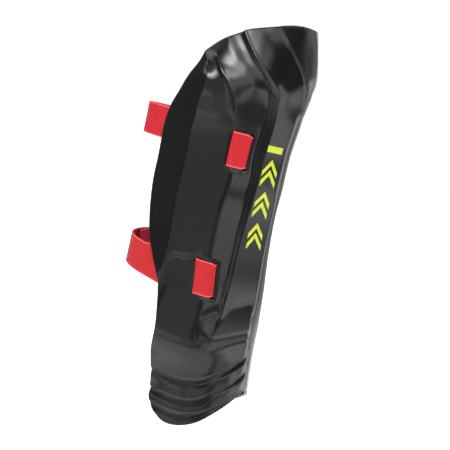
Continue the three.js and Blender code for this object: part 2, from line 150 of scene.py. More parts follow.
def add_world():
    """White behind the object, and soft panels in a dim room in what it reflects."""
    world = bpy.data.worlds.new("studio")
    world.use_nodes = True
    nodes, links = world.node_tree.nodes, world.node_tree.links
    nodes.clear()
    calc = partial(math_node, nodes, links)

    def window(value, low, high, softness):
        """1 between low and high, falling smoothly to 0 outside them."""
        shares = []
        for edge, sign in ((low, 1), (high, -1)):
            node = nodes.new("ShaderNodeMapRange")
            node.interpolation_type = "SMOOTHSTEP"
            links.new(value, node.inputs["Value"])
            node.inputs["From Min"].default_value = edge - sign * softness / 2
            node.inputs["From Max"].default_value = edge + sign * softness / 2
            shares.append(node.outputs[0])
        return calc("MULTIPLY", *shares)

    ray = nodes.new("ShaderNodeSeparateXYZ")
    links.new(nodes.new("ShaderNodeTexCoord").outputs["Generated"], ray.inputs[0])
    x, y, z = ray.outputs
    azimuth = calc("MULTIPLY", calc("ARCTAN2", x, calc("MULTIPLY", y, -1.0)), 180 / math.pi)
    elevation = calc("MULTIPLY", calc("ARCSINE", z), 180 / math.pi)
    light = ROOM_LIGHT
    for around, upward, brightness in PANELS.values():
        share = calc("MULTIPLY", window(azimuth, *around), window(elevation, *upward))
        light = calc("ADD", calc("MULTIPLY", share, brightness), light)
    path = nodes.new("ShaderNodeLightPath")
    room, backdrop = (nodes.new("ShaderNodeBackground") for _ in range(2))
    for background in (room, backdrop):
        background.inputs["Color"].default_value = (1, 1, 1, 1)
    links.new(light, room.inputs["Strength"])
    choice = nodes.new("ShaderNodeMixShader")
    output = nodes.new("ShaderNodeOutputWorld")
    links.new(path.outputs["Is Camera Ray"], choice.inputs["Fac"])
    links.new(room.outputs["Background"], choice.inputs[1])
    links.new(backdrop.outputs["Background"], choice.inputs[2])
    links.new(choice.outputs["Shader"], output.inputs["Surface"])
    bpy.context.scene.world = world
    bpy.context.scene.view_settings.view_transform = "Standard"


# Each lamp: azimuth and elevation in degrees, distance, width and height in metres, and power.
LAMPS = {
    "left_lamp": (-92, 29, 1.5, 0.30, 0.16, 0.95),
    "key_lamp": (-40, 46, 1.6, 0.5, 0.5, 1.6),
}


def add_lamps():
    for name, (azimuth, elevation, distance, width, height, power) in LAMPS.items():
        data = bpy.data.lights.new(name, "AREA")
        data.shape = "RECTANGLE"
        data.size = width
        data.size_y = height
        data.energy = power
        lamp = bpy.data.objects.new(name, data)
        toward = direction(math.radians(azimuth), math.radians(elevation))
        lamp.location = TARGET + toward * distance
        lamp.rotation_euler = toward.to_track_quat("Z", "Y").to_euler()
        lamp.visible_glossy = False
        bpy.context.scene.collection.objects.link(lamp)


add_camera()
add_floor()
add_world()
add_lamps()

# ---------------------------------------------------------------- curves


def ease(start, end, value):
    share = np.clip((value - start) / (end - start), 0, 1)
    return share * share * (3 - 2 * share)


def mix(a, b, share):
    return a + (b - a) * share


def curve(*stations, soft=3.0):
    """A smooth curve through [position, value] stations, level past both ends, softened over some mm."""
    at, value = np.array(stations, float).T
    span = np.diff(at)
    slope = np.diff(value) / span
    inner = (slope[:-1] * span[1:] + slope[1:] * span[:-1]) / (span[:-1] + span[1:])
    tangent = np.concatenate([slope[:1], inner, slope[-1:]])
    x = np.arange(at[0], at[-1] + 0.25, 0.5)
    i = np.clip(np.searchsorted(at, x, "right") - 1, 0, len(span) - 1)
    t = (x - at[i]) / span[i]
    s = 1 - t
    y = (
        s * s * (1 + 2 * t) * value[i] + t * s * s * span[i] * tangent[i]
        + t * t * (1 + 2 * s) * value[i + 1] - t * t * s * span[i] * tangent[i + 1]
    )
    if soft:
        reach = int(soft * 6)
        kernel = np.exp(-0.5 * (np.arange(-reach, reach + 1) * 0.5 / soft) ** 2)
        ends = np.arange(1, reach + 1)
        before = y[0] - (y[1] - y[0]) * ends[::-1]
        after = y[-1] + (y[-1] - y[-2]) * ends
        y = np.convolve(np.concatenate([before, y, after]), kernel / kernel.sum(), "valid")
    return lambda position: np.interp(position, x, y)


# ---------------------------------------------------------------- shell outline and feature lines

front_depth = curve([0, -78], [60, -74], [90, -69.5], [125, -66.5], [150, -64], [180, -60], [215, -57],
                    [250, -56], [285, -55], [311, -57], [333, -58], [350, -60.5], [365, -59], [380, -55],
                    [396, -50], soft=6)
rear_edge = curve([0, 105], [50, 106], [77, 105.5], [110, 107], [127, 110.5], [144, 115], [157, 125],
                  [175, 140], [193, 148], [213, 152], [262, 154], [288, 151.5], [303, 147], [317, 138],
                  [338, 128.5], [356, 116], [396, 90])
spine_edge = curve([0, 7], [127, 6.5], [163, 5.2], [190, 4], [225, 2.6], [250, 3], [300, 3], [396, 4])
facet_edge = curve([0, 52], [110, 44], [116, 42], [131, 39.5], [146, 37], [162, 34], [178, 32.5], [192, 31],
                   [209, 29], [225, 27.5], [247, 26.5], [270, 25.5], [284, 25], [303, 25.5], [314, 26.5],
                   [324, 28.5], [334, 31], [342, 39], [351, 49], [359, 58], [367, 64], [374, 68], [396, 76])
groove_width = curve([0, 2.5], [110, 2.5], [131, 5], [146, 6.8], [192, 7], [208, 8], [224, 8], [246, 9.5],
                     [257, 9.5], [282, 12], [301, 10.5], [396, 10.5])
band_edge = curve([0, 66], [100, 66], [130, 62], [181, 59], [220, 57], [252, 54], [290, 58], [309, 62.5],
                  [315, 65], [325, 70.5], [334, 78], [342, 86.5], [356, 98], [396, 84])
rear_crease = curve([0, 101], [120, 104], [148, 109.5], [162, 106], [177, 103.5], [219, 102.5], [290, 102],
                    [307, 100.5], [325, 99.5], [339, 101], [349, 107], [356, 113], [396, 88])
# The edge of the spine, which opens into a V over the knee.
keel_edge = curve([0, 7], [127, 6.5], [163, 5.2], [190, 4], [225, 2.6], [250, 3], [300, 3], [318, 1.8],
                  [333, 1.8], [346, 5], [355, 10.6], [363, 17], [373, 25.5], [385, 34], [397, 41])
top_edge = curve([0, 397], [15, 397], [29, 394.5], [40, 391], [63, 384.5], [81, 377.5], [100, 368],
                 [116, 356.5])
low_step = curve([0, 57], [8, 51], [21, 42], [32.5, 34], [44, 26], [56, 21], [70, 17.5], [86, 16],
                 [106, 13.5])
# Where the lower leg's flat faces end and the ankle's round section begins.
ankle_line = curve([0, 108], [13, 105.5], [36, 99.5], [48, 94.5], [69, 87], [98, 66], [108, 62])
corner_rise = curve([78, 0], [84, 1.2], [90, 4], [96, 7], [102, 13], [106, 23], soft=1)
rear_fold = curve([0, 0], [130, 8], [170, 20], [240, 24], [300, 22], [352, 16], [400, 14])

RIGHT_EDGE_RISE = 6
STEP_SPACINGS = (18, 35)


def groove_edge(height):
    return facet_edge(height) + groove_width(height)


def middle_step(girth):
    return low_step(girth) + STEP_SPACINGS[0] - 3 * ease(25, 56, girth)


def high_step(girth):
    return low_step(girth) + STEP_SPACINGS[1]


def bottom_edge(girth):
    """The bottom edge by signed girth: it is a little higher on the +X side."""
    g = np.abs(girth)
    return low_step(g) - 5.5 - 9.5 * ease(0, 80, g) + corner_rise(g) + RIGHT_EDGE_RISE * ease(10, 45, girth)


# ---------------------------------------------------------------- shell surface

SHELL_THICKNESS = 3.0
EDGE_ROUND = 1.4
INNER_RELIEF = 0.5
GIRTHS = np.arange(0, 176, 0.1)
HEIGHT_STEP = 0.5
HEIGHTS = np.arange(-4, 404, HEIGHT_STEP)
CORNER_REACH = 14
# Degrees that the section turns through in front, at the spine, at the groove, and at and behind the band.
TURNS = dict(front=10, spine=20, groove=24, band=20, side=12)


def normal_angle(g, h):
    """Direction of the outward normal on the +X side, in degrees from straight ahead."""
    spine, band, fold_line = spine_edge(h), band_edge(h), rear_crease(h)
    faceted = (
        TURNS["front"] * np.clip(g / spine, 0, 1)
        + TURNS["spine"] * ease(spine - 1.5, spine + 3 + 3 * ease(232, 250, h), g)
        + TURNS["groove"] * ease(facet_edge(h), groove_edge(h), g)
        + TURNS["band"] * ease(band - 5, band + 6, g)
        + TURNS["side"] * np.clip((g - band - 6) / 45, 0, 1)
    )
    rounded = 4 + 88 * np.clip(g / (0.86 * rear_edge(h)), 0, 1.3) ** 0.7
    line = ankle_line(g)
    share = ease(line - 42, line, h) * (1 - ease(300, 350, h))
    return mix(rounded, faceted, share) + rear_fold(h) * ease(fold_line - 1, fold_line + 1, g)


def section_tables():
    """The base surface's angle, x and y over a lattice of heights and girths."""
    angle = np.radians(normal_angle(GIRTHS[None, :], HEIGHTS[:, None]))
    middle = (angle[:, 1:] + angle[:, :-1]) / 2
    step = GIRTHS[1]
    start = np.zeros((len(HEIGHTS), 1))
    x = np.concatenate([start, np.cumsum(np.cos(middle) * step, 1)], 1)
    y = np.concatenate([start, np.cumsum(np.sin(middle) * step, 1)], 1)
    return np.stack([x, y + front_depth(HEIGHTS)[:, None], angle])


TABLES = section_tables()


def look_up(tables, girth, height):
    """Values of the tables at |girth| and height."""
    column = np.clip(np.abs(girth) / GIRTHS[1], 0, len(GIRTHS) - 1.001)
    row = np.clip((height - HEIGHTS[0]) / HEIGHT_STEP, 0, len(HEIGHTS) - 1.001)
    c, r = column.astype(int), row.astype(int)
    u, v = column - c, row - r
    low = mix(tables[:, r, c], tables[:, r, c + 1], u)
    return mix(low, mix(tables[:, r + 1, c], tables[:, r + 1, c + 1], u), v)


def place(girth, height, offset, tables=TABLES):
    """Points in millimetres at a girth, height and offset from the base surface."""
    girth, height, offset = np.broadcast_arrays(*(np.asarray(a, float) for a in (girth, height, offset)))
    x, y, angle = look_up(tables, girth, height)
    side = np.where(girth < 0, -1, 1)
    return np.stack([side * (x + offset * np.sin(angle)), y - offset * np.cos(angle), height], -1)


def eased(tables):
    """The same tables with the section's corners averaged over a short girth, for the pieces inside."""
    reach = int(CORNER_REACH / GIRTHS[1])
    mirror = np.array([-1, 1, -1])[:, None, None] * tables[:, :, reach:0:-1]
    padded = np.concatenate([mirror, tables, tables[:, :, :-reach - 1:-1]], 2)
    total = np.cumsum(np.concatenate([np.zeros_like(padded[:, :, :1]), padded], 2), 2)
    width = 2 * reach + 1
    return ((total[:, :, width:] - total[:, :, :-width]) / width)[:, :, :len(GIRTHS)]


SOFT_TABLES = eased(TABLES)


def to_row(points):
    """Points in millimetres as metres in the part's frame."""
    return (np.asarray(points) + (0, SEAT_DEPTH, -SEAT_HEIGHT)) * MM


# ---------------------------------------------------------------- shell relief

# A crease's parts are shares of its height, and girths in mm.
CREASE_HEIGHT = 2.2
CREASE = dict(crest=0.5, hollow=0.6, front=26, fall=6.5, fade=(9, 25), bead=0.10, bead_width=1.5)
KNEE_HOLLOW = 1.1
KEEL_SHARE = 0.55
KEEL_RIDGE = 1.2
STEP_DEPTH = 1.25
FAR_ANKLE_LOSS = 0.85
CHANNEL_DEPTH = 1.3
SCOOP_DIP = 1.2
SCOOP_SWELL = 3.4
SEAT_SINK = 0.8
SEAT_MARGIN = 1.8

STRAPS = {
    "upper": dict(height=278, width=32, front=41, back=60, half=33, start=72, depth=39, rise=6),
    "lower": dict(height=156, width=32, front=51, back=72, half=49, start=42, depth=48, rise=-6),
}


def petal(girth, line, strength):
    """A shingled edge at a line: a crest in front of it, falling to a hollow behind that fades out."""
    d = girth - line
    c = CREASE
    front = c["crest"] * (1 - ease(0, c["front"], -d))
    fall = 1 - (1 - np.clip(d / c["fall"], 0, 1)) ** 2
    behind = mix(c["crest"], -c["hollow"], fall) * (1 - ease(*c["fade"], d))
    bead = c["bead"] * np.exp(-(((d + 0.8) / c["bead_width"]) ** 2))
    return strength * CREASE_HEIGHT * (np.where(d < 0, front, behind) + bead)


def knee_cup(g, h):
    """The bulge of the knee, which starts at a slanting line across the top of the printed facet."""
    above = (h - 332.5 - 0.795 * (31 - g)) * 0.78
    hollow = (1 - np.exp(-np.maximum(above, 0) / 8)) * (1 - ease(16, 40, above))
    return -KNEE_HOLLOW * hollow * ease(2, 9, g) * (1 - ease(20, 36, g))


def keel(g, h):
    """The V over the knee and the low ridge down its middle."""
    along = ease(312, 332, h) * (1 - ease(374, 392, h))
    edge = petal(g, keel_edge(h), KEEL_SHARE * along)
    ridge = KEEL_RIDGE * np.exp(-g / 7) * ease(318, 340, h) * (1 - ease(378, 396, h))
    return edge + ridge


def groove(g, h):
    """The groove between the facet and the side band: two narrow ramps that face the calf."""
    left, width = facet_edge(h), groove_width(h)
    t = np.clip((g - left) / width, 0, 1.2)
    ramps = 0.5 * ease(0.46, 0.53, t) - width * (0.70 * t - 0.27 * t * t)
    wall = 1 - ease(left + width - 0.9, left + width + 0.1, g)
    return ramps * wall * ease(110, 128, h) * (1 - ease(318, 345, h)) * (g > left)


def steps(g, h):
    """Three overlapping steps over the ankle. Each is sunk under the one above and rises to its own edge."""
    lines = np.stack([low_step(g), middle_step(g), high_step(g)])
    depth = np.zeros_like(h)
    for line, below in zip(lines, (bottom_edge(-g) - 4, lines[0], lines[1])):
        under = line - h
        here = (h > below) & (under > -1.2)
        sunk = ease(-0.5, 0.9, under) * (1 - ease(2.5, 9, under))
        depth = np.where(here, np.maximum(depth, sunk), depth)
    return -STEP_DEPTH * depth


low_lip = curve([60, 186], [67, 185], [71, 178], [81.6, 172], [99, 167], [109, 147], [120, 140], soft=1.5)
high_lip = curve([58, 300], [75, 300], [100, 296], [120, 290], soft=2)


def channels(g, h):
    """Shallow channels behind each strap seat, where the shell is pressed in for the strap."""
    low_lip_drop = low_lip(g) - h
    low = ease(-1, 5, low_lip_drop) * (1 - ease(16, 44, low_lip_drop)) * ease(64, 70, g)
    high_drop = high_lip(g) - h
    high = ease(-6, 16, high_drop) * (1 - ease(24, 60, high_drop))
    high = high * ease(60, 68, g) * (1 - ease(104, 116, g))
    return -CHANNEL_DEPTH * low - 0.5 * CHANNEL_DEPTH * high


scoop_top = curve([0, 151], [8, 149.5], [15, 147], [37, 140], [46, 136], [55, 129], [64, 119])
scoop_foot = curve([0, 116], [13, 113], [36, 107], [48, 105], [57, 108], [64, 117])


def scoop(g, h):
    """The dished end of the facet: a shallow dip, then a swell out to its foot that sinks back below it."""
    top, foot = scoop_top(g), scoop_foot(g)
    down = (top - h) / (top - foot)
    dip = -SCOOP_DIP * ease(0, 0.3, down) * (1 - ease(1, 1.6, down))
    swell = SCOOP_SWELL * np.clip((down - 0.08) / 0.92, 0, 1) * (1 - ease(0, 16, foot - h))
    tongue_width = 7 * ease(113, 138, h)
    tongue = ease(facet_edge(h) - tongue_width - 1, facet_edge(h) - tongue_width + 1, g)
    tongue = tongue * (1 - ease(facet_edge(h) - 0.5, facet_edge(h) + 1.5, g))
    side = ease(6, 10, g) * (1 - ease(50, 63, g)) * (1 - tongue * ease(0, 3, tongue_width))
    return (dip + swell) * side


def seats(g, h):
    """The sunk flat under each strap, with an eased edge."""
    depth = np.zeros_like(h)
    for strap in STRAPS.values():
        beyond_side = np.maximum(strap["front"] - SEAT_MARGIN - g, g - strap["back"] - SEAT_MARGIN)
        beyond_end = np.abs(h - strap["height"]) - strap["width"] / 2 - SEAT_MARGIN
        beyond = np.hypot(np.maximum(beyond_side + 2, 0), np.maximum(beyond_end + 2, 0)) - 2
        depth = np.maximum(depth, 1 - ease(-0.9, 0.7, beyond))
    return -SEAT_SINK * depth


def relief(girth, height):
    """Every shallow shape on the shell's face, in mm. The ankle's are fainter on the +X side."""
    g = np.abs(girth)
    ankle = 1 - FAR_ANKLE_LOSS * ease(-12, 4, girth)
    knee = petal(g, facet_edge(height), ease(318, 343, height))
    side_along = ease(296, 314, height) * (1 - ease(343, 360, height))
    side = petal(g, band_edge(height), side_along)
    return (
        knee + side + keel(g, height) + knee_cup(g, height) + groove(g, height)
        + ankle * (steps(g, height) + scoop(g, height)) + channels(g, height) + seats(g, height)
    )


# ---------------------------------------------------------------- mesh helpers


def new_object(name, points, faces, smooth=True):
    """A mesh object from points in metres and an array of quads or a list of faces."""
    mesh = bpy.data.meshes.new(name)
    mesh.from_pydata([tuple(p) for p in np.asarray(points).reshape(-1, 3).tolist()], [],
                     faces.tolist() if isinstance(faces, np.ndarray) else faces)
    mesh.validate()
    if smooth:
        mesh.shade_smooth()
    obj = bpy.data.objects.new(name, mesh)
    bpy.context.scene.collection.objects.link(obj)
    fix_normals(obj)
    return obj


def fix_normals(obj):
    """Turns every face outwards."""
    edit = bmesh.new()
    edit.from_mesh(obj.data)
    bmesh.ops.recalc_face_normals(edit, faces=edit.faces)
    edit.to_mesh(obj.data)
    edit.free()


def run_along(points):
    """Distance along a line of points, at each of them."""
    return np.concatenate([[0], np.cumsum(np.linalg.norm(np.diff(points, axis=0), axis=-1))])


def sample(at, run, points):
    """Points at some distances along a line whose points lie at the distances in run."""
    return np.stack([np.interp(at, run, column) for column in points.T], -1)


def grid_quads(rows, columns, wrap=False):
    """Quads of a grid of points, and round the last column to the first if it wraps."""
    ids = np.arange(rows * columns).reshape(rows, columns)
    if wrap:
        ids = np.concatenate([ids, ids[:, :1]], 1)
    return np.stack([ids[:-1, :-1], ids[:-1, 1:], ids[1:, 1:], ids[1:, :-1]], -1).reshape(-1, 4)


def between(outer, inner):
    """Points and quads of the closed solid between two grids, as seen from outside."""
    rows, columns = outer.shape[:2]
    half = rows * columns
    front = grid_quads(rows, columns)
    back = grid_quads(rows, columns)[:, ::-1] + half
    ids = np.arange(half).reshape(rows, columns)
    rim = np.concatenate([ids[0, :], ids[1:, -1], ids[-1, -2::-1], ids[-2:0:-1, 0]])
    after = np.roll(rim, -1)
    side = np.stack([after, rim, rim + half, after + half], -1)
    points = np.concatenate([outer.reshape(-1, 3), inner.reshape(-1, 3)])
    return points, np.concatenate([front, back, side])


def solid(name, outer, inner):
    """A closed piece between two grids of points in millimetres."""
    points, faces = between(outer, inner)
    return new_object(name, to_row(points), faces)


def set_uv(obj, u, v):
    """Gives the mesh a UV map from a grid of values, repeated where its inner face repeats the grid."""
    uv = np.stack(np.broadcast_arrays(u, v), -1).reshape(-1, 2)
    uv = np.tile(uv, (len(obj.data.vertices) // len(uv), 1))
    layer = obj.data.uv_layers.new(name="UVMap")
    corner = np.zeros(len(obj.data.loops), int)
    obj.data.loops.foreach_get("vertex_index", corner)
    layer.data.foreach_set("uv", np.asarray(uv, np.float32)[corner].ravel())


def set_value(obj, name, values):
    attribute = obj.data.attributes.new(name, "FLOAT", "POINT")
    attribute.data.foreach_set("value", np.asarray(values, np.float32).ravel())


def cut(obj, cutter):
    """Cuts obj with cutter, which is removed."""
    modifier = obj.modifiers.new("cut", "BOOLEAN")
    modifier.operation = "DIFFERENCE"
    modifier.solver = "MANIFOLD"
    modifier.object = cutter
    bpy.context.view_layer.update()
    graph = bpy.context.evaluated_depsgraph_get()
    obj.data = bpy.data.meshes.new_from_object(obj.evaluated_get(graph))
    obj.modifiers.clear()
    bpy.data.objects.remove(cutter)


# ---------------------------------------------------------------- materials


class Shading:
    """A material with a Principled shader, and short ways to add nodes to it."""

    def __init__(self, name, **values):
        self.material = bpy.data.materials.new(name)
        self.material.use_nodes = True
        self.nodes = self.material.node_tree.nodes
        self.links = self.material.node_tree.links
        self.shader = self.nodes["Principled BSDF"]
        for key, value in values.items():
            self.shader.inputs[key.replace("_", " ")].default_value = value

    def add(self, kind, settings=None, **inputs):
        node = self.nodes.new(kind)
        for key, value in (settings or {}).items():
            setattr(node, key, value)
        for key, value in inputs.items():
            self.plug(node.inputs[key.replace("_", " ")], value)
        return node

    def plug(self, socket, value):
        plug(self.links, socket, value)

    def math(self, operation, *values):
        return math_node(self.nodes, self.links, operation, *values)

    def noise(self, scale, detail=3, roughness=0.55, vector=None):
        node = self.add("ShaderNodeTexNoise", Scale=scale, Detail=detail, Roughness=roughness)
        self.links.new(vector or self.position(), node.inputs["Vector"])
        return node.outputs["Fac"]

    def position(self):
        return self.add("ShaderNodeTexCoord").outputs["Object"]

    def stretched(self, x, y, z):
        node = self.add("ShaderNodeMapping", Vector=self.position())
        node.inputs["Scale"].default_value = (x, y, z)
        return node.outputs["Vector"]

    def uv(self):
        node = self.add("ShaderNodeSeparateXYZ", Vector=self.add("ShaderNodeTexCoord").outputs["UV"])
        return node.outputs["X"], node.outputs["Y"]

    def value(self, name):
        return self.add("ShaderNodeAttribute", {"attribute_name": name}).outputs["Fac"]

    def between(self, factor, low, high):
        """A number that runs from low to high as the factor runs from 0 to 1."""
        return self.add("ShaderNodeMapRange", Value=factor, To_Min=low, To_Max=high).outputs[0]

    def window(self, factor, start, end):
        """0 before start, 1 after end."""
        return self.add("ShaderNodeMapRange", Value=factor, From_Min=start, From_Max=end).outputs[0]

    def cells(self, scale):
        """Distance from the nearest of many scattered points."""
        return self.add("ShaderNodeTexVoronoi", Scale=scale, Vector=self.position()).outputs["Distance"]

    def blend(self, factor, first, second):
        node = self.add("ShaderNodeMix", {"data_type": "RGBA"})
        self.plug(node.inputs["Factor"], factor)
        self.plug(node.inputs["A"], first)
        self.plug(node.inputs["B"], second)
        return node.outputs["Result"]

    def bump(self, height, distance, strength=1.0, normal=None):
        node = self.add("ShaderNodeBump", Height=height, Distance=distance, Strength=strength)
        if normal is not None:
            self.links.new(normal, node.inputs["Normal"])
        self.links.new(node.outputs["Normal"], self.shader.inputs["Normal"])
        return node.outputs["Normal"]

    def base(self, color):
        self.plug(self.shader.inputs["Base Color"], color)

    def rough(self, value):
        self.plug(self.shader.inputs["Roughness"], value)


def shell_material():
    """Gloss black moulded plastic: faint orange peel, hairline scratches, and duller worn edges painted
    lighter grey as a highlight.
    """
    s = Shading("gloss_shell", Specular_IOR_Level=0.5, IOR=1.49)
    cloud = s.noise(18, 4)
    hairline = s.noise(60, 2, 0.5, s.stretched(9, 9, 1))
    scratch = s.window(hairline, 0.66, 0.74)
    worn_and_lit = s.math("MULTIPLY", s.value("wear_and_highlight"), s.window(s.noise(420, 3), 0.42, 0.7))
    rough = s.math("ADD", s.between(cloud, 0.13, 0.23), s.math("MULTIPLY", scratch, 0.05))
    s.rough(s.math("ADD", rough, s.math("MULTIPLY", worn_and_lit, 0.18)))
    tint = s.blend(s.noise(6, 3), (0.0045, 0.0040, 0.0042, 1), (0.0068, 0.0062, 0.0066, 1))
    # Painted highlight: worn places along the rim, creases and step edges are painted lighter grey, as well
    # as made rougher.
    s.base(s.blend(worn_and_lit, tint, (0.055, 0.055, 0.058, 1)))
    s.bump(s.noise(520, 2), 0.00002, 0.5)
    return s.material


def webbing_material(name, tint, edge):
    """Knitted elastic: ribs along the strap, fine courses across it with painted shade in their hollows, and
    a smooth selvedge painted lighter as a highlight.
    """
    s = Shading(name, Roughness=0.6, Specular_IOR_Level=0.35, Sheen_Weight=0.04, Sheen_Roughness=0.4)
    along, across = s.uv()
    rib = s.math("ABSOLUTE", s.math("SINE", s.math("MULTIPLY", across, math.pi / 1.25)))
    bent = s.math("ADD", along, s.math("MULTIPLY", rib, 0.45))
    course = s.math("SINE", s.math("MULTIPLY", bent, math.tau / 0.95))
    fluff = s.noise(1900, 2)
    height = s.math("ADD", s.math("MULTIPLY", rib, 0.7), s.math("MULTIPLY", course, 0.22))
    height = s.math("ADD", height, s.math("MULTIPLY", fluff, 0.5))
    # Painted highlight: the beaded selvedge is painted a lighter red than the rest of the webbing.
    selvedge_highlight = s.window(s.math("ABSOLUTE", across), 14.4, 14.9)
    # Painted shade: the knit's hollows are painted darker and mottled, its crowns the full tint.
    knit_hollow_shade = s.between(height, 0.0, 1.0)
    dark = tuple(c * 0.62 for c in tint) + (1,)
    mottle = s.blend(s.noise(90, 3), dark, tuple(tint) + (1,))
    cloth = s.blend(knit_hollow_shade, mottle, tuple(tint) + (1,))
    s.base(s.blend(selvedge_highlight, cloth, tuple(edge) + (1,)))
    s.bump(height, 0.00011, 0.8)
    return s.material


def tape_material():
    """Hook-and-loop tape: a dense pile of fibres on a woven back."""
    s = Shading("hook_and_loop", Roughness=0.95, Sheen_Weight=0.35, Sheen_Roughness=0.5)
    clump = s.noise(260, 4)
    height = s.math("ADD", s.cells(1100), s.math("MULTIPLY", clump, 0.8))
    s.base(s.blend(clump, (0.008, 0.008, 0.009, 1), (0.035, 0.035, 0.038, 1)))
    s.bump(height, 0.0003, 0.9)
    return s.material


VENT_PITCH = 9.0


def liner_material():
    """Black foam under a spacer knit, with rows of vent holes painted near black as the shade inside them.
    """
    s = Shading("liner_foam", Roughness=0.9, Sheen_Weight=0.2, Sheen_Roughness=0.5)
    along, across = s.uv()
    row = s.math("FLOOR", s.math("DIVIDE", across, VENT_PITCH))
    shift = s.math("MULTIPLY", s.math("MODULO", s.math("ABSOLUTE", row), 2.0), VENT_PITCH / 2)
    u, v = (s.math("SUBTRACT", s.math("FRACT", s.math("DIVIDE", place_in, VENT_PITCH)), 0.5)
            for place_in in (s.math("ADD", along, shift), across))
    radius = s.math("SQRT", s.math("ADD", s.math("MULTIPLY", u, u), s.math("MULTIPLY", v, v)))
    # Painted shade: each vent hole is painted near black, for the shade inside it.
    solid = s.window(radius, 0.13, 0.18)
    cloth = s.blend(s.noise(40, 4), (0.022, 0.022, 0.025, 1), (0.045, 0.045, 0.05, 1))
    s.base(s.blend(solid, (0.003, 0.003, 0.003, 1), cloth))
    height = s.math("ADD", s.math("MULTIPLY", solid, 2.0), s.math("MULTIPLY", s.cells(780), 0.35))
    s.bump(height, 0.0005, 0.9)
    return s.material


def pad_material():
    """Black brushed knit over soft foam, with a fine nap."""
    s = Shading("pad_cover", Roughness=0.92, Sheen_Weight=0.4, Sheen_Roughness=0.45)
    nap = s.noise(1500, 3, 0.7)
    s.base(s.blend(s.noise(70, 4), (0.016, 0.016, 0.018, 1), (0.038, 0.038, 0.042, 1)))
    s.bump(s.math("ADD", nap, s.cells(900)), 0.0003, 0.8)
    return s.material


def binding_material():
    """Grosgrain tape, ribbed across its length."""
    s = Shading("edge_binding", Roughness=0.8, Sheen_Weight=0.15)
    rib = s.math("SINE", s.math("MULTIPLY", s.uv()[0], math.tau / 0.9))
    s.base(s.blend(s.noise(60, 3), (0.012, 0.012, 0.013, 1), (0.028, 0.028, 0.03, 1)))
    s.bump(s.math("ADD", rib, s.math("MULTIPLY", s.noise(1500, 2), 0.6)), 0.00015, 0.8)
    return s.material


def rubber_material():
    """Matt moulded rubber with a fine stipple."""
    s = Shading("grip_rubber", Roughness=0.62)
    s.base(s.blend(s.noise(45, 3), (0.010, 0.010, 0.011, 1), (0.024, 0.024, 0.026, 1)))
    s.rough(s.between(s.noise(160, 3), 0.5, 0.78))
    s.bump(s.noise(1700, 2), 0.00012, 0.7)
    return s.material


def print_material():
    """Neon yellow pad print: a thin glossy ink film with a faint edge and pinholes."""
    s = Shading("neon_print", Roughness=0.35)
    speck = s.window(s.noise(900, 2), 0.3, 0.36)
    ink = s.blend(s.noise(70, 3), (0.50, 0.57, 0.016, 1), (0.57, 0.64, 0.022, 1))
    s.base(s.blend(speck, (0.45, 0.52, 0.02, 1), ink))
    s.rough(s.between(s.noise(240, 2), 0.28, 0.46))
    s.bump(s.noise(600, 2), 0.00002, 0.5)
    return s.material


def thread_material(name, tint):
    s = Shading(name, Roughness=0.6, Sheen_Weight=0.2)
    twist = s.noise(2600, 2)
    s.base(s.blend(twist, tuple(c * 0.6 for c in tint) + (1,), tuple(tint) + (1,)))
    s.bump(twist, 0.00008, 0.8)
    return s.material


RED = (0.50, 0.007, 0.014)
# The second red is a lighter painted highlight for the webbing's selvedge.
RED_EDGE_HIGHLIGHT = (0.80, 0.085, 0.10)
SHELL = shell_material()
WEBBING = webbing_material("red_elastic", RED, RED_EDGE_HIGHLIGHT)
TAPE = tape_material()
LINER = liner_material()
PAD = pad_material()
BINDING = binding_material()
RUBBER = rubber_material()
PRINT = print_material()
RED_THREAD = thread_material("red_thread", (0.45, 0.01, 0.02))
BLACK_THREAD = thread_material("black_thread", (0.03, 0.03, 0.032))


def finish_piece(obj, material, body, slot, *nodes):
    obj.data.materials.clear()
    obj.data.materials.append(material)
    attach(obj, body)
    if nodes:
        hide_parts(*nodes)
    return obj


# ---------------------------------------------------------------- shell mesh

COLUMN_COUNTS = [7, 24, 10, 20, 27, 18]
EDGE_SPACING = np.array([0, 0.12, 0.35, 0.7, 1.1, 1.6])
RIM_START = 2.1
ROW_COUNTS = [7, 11, 14]
UPPER_ROWS = 168
# A lattice point's girth and height depend on each other, so both are found by repeated steps.
START_HEIGHT = 200.0
PASSES, PACE = 16, 0.7


def clustered(count, pull):
    """Shares from 0 to 1 that lie closer together near both ends."""
    t = np.linspace(0, 1, count + 1)
    return t - pull * np.sin(math.tau * t) / math.tau


def column_girths(height):
    """Girths of the columns on one side, by height: (..., columns)."""
    lines = [np.zeros_like(height), keel_edge(height), facet_edge(height), groove_edge(height),
             band_edge(height), rear_crease(height), rear_edge(height)]
    for i in range(5, 0, -1):
        lines[i] = np.minimum(lines[i], lines[i + 1] - 2.5)
    parts = [np.zeros_like(height)[..., None]]
    lines[6] = lines[6] - RIM_START
    for i, count in enumerate(COLUMN_COUNTS):
        shares = clustered(count, 0.6)[1:]
        parts.append(mix(lines[i][..., None], lines[i + 1][..., None], shares))
    rim = (lines[6] + RIM_START)[..., None] - EDGE_SPACING[::-1]
    return np.concatenate([*parts, rim], -1)


def row_heights(girth):
    """Heights of the rows, by girth: (..., rows)."""
    g = np.abs(girth)
    bottom, top = bottom_edge(girth), top_edge(g)
    lines = [bottom + RIM_START, low_step(g), middle_step(g), high_step(g)]
    lines[1] = np.maximum(lines[1], bottom + 3.2)
    lines[2] = np.maximum(lines[2], bottom + 5.5)
    lines[3] = np.maximum(lines[3], bottom + 9)
    parts = [bottom[..., None] + EDGE_SPACING]
    for i, count in enumerate(ROW_COUNTS):
        parts.append(mix(lines[i][..., None], lines[i + 1][..., None], clustered(count, 0.6)[:-1]))
    upper = mix(lines[3][..., None], (top - RIM_START)[..., None], clustered(UPPER_ROWS, 0.25))
    return np.concatenate([*parts, upper, top[..., None] - EDGE_SPACING[::-1]], -1)


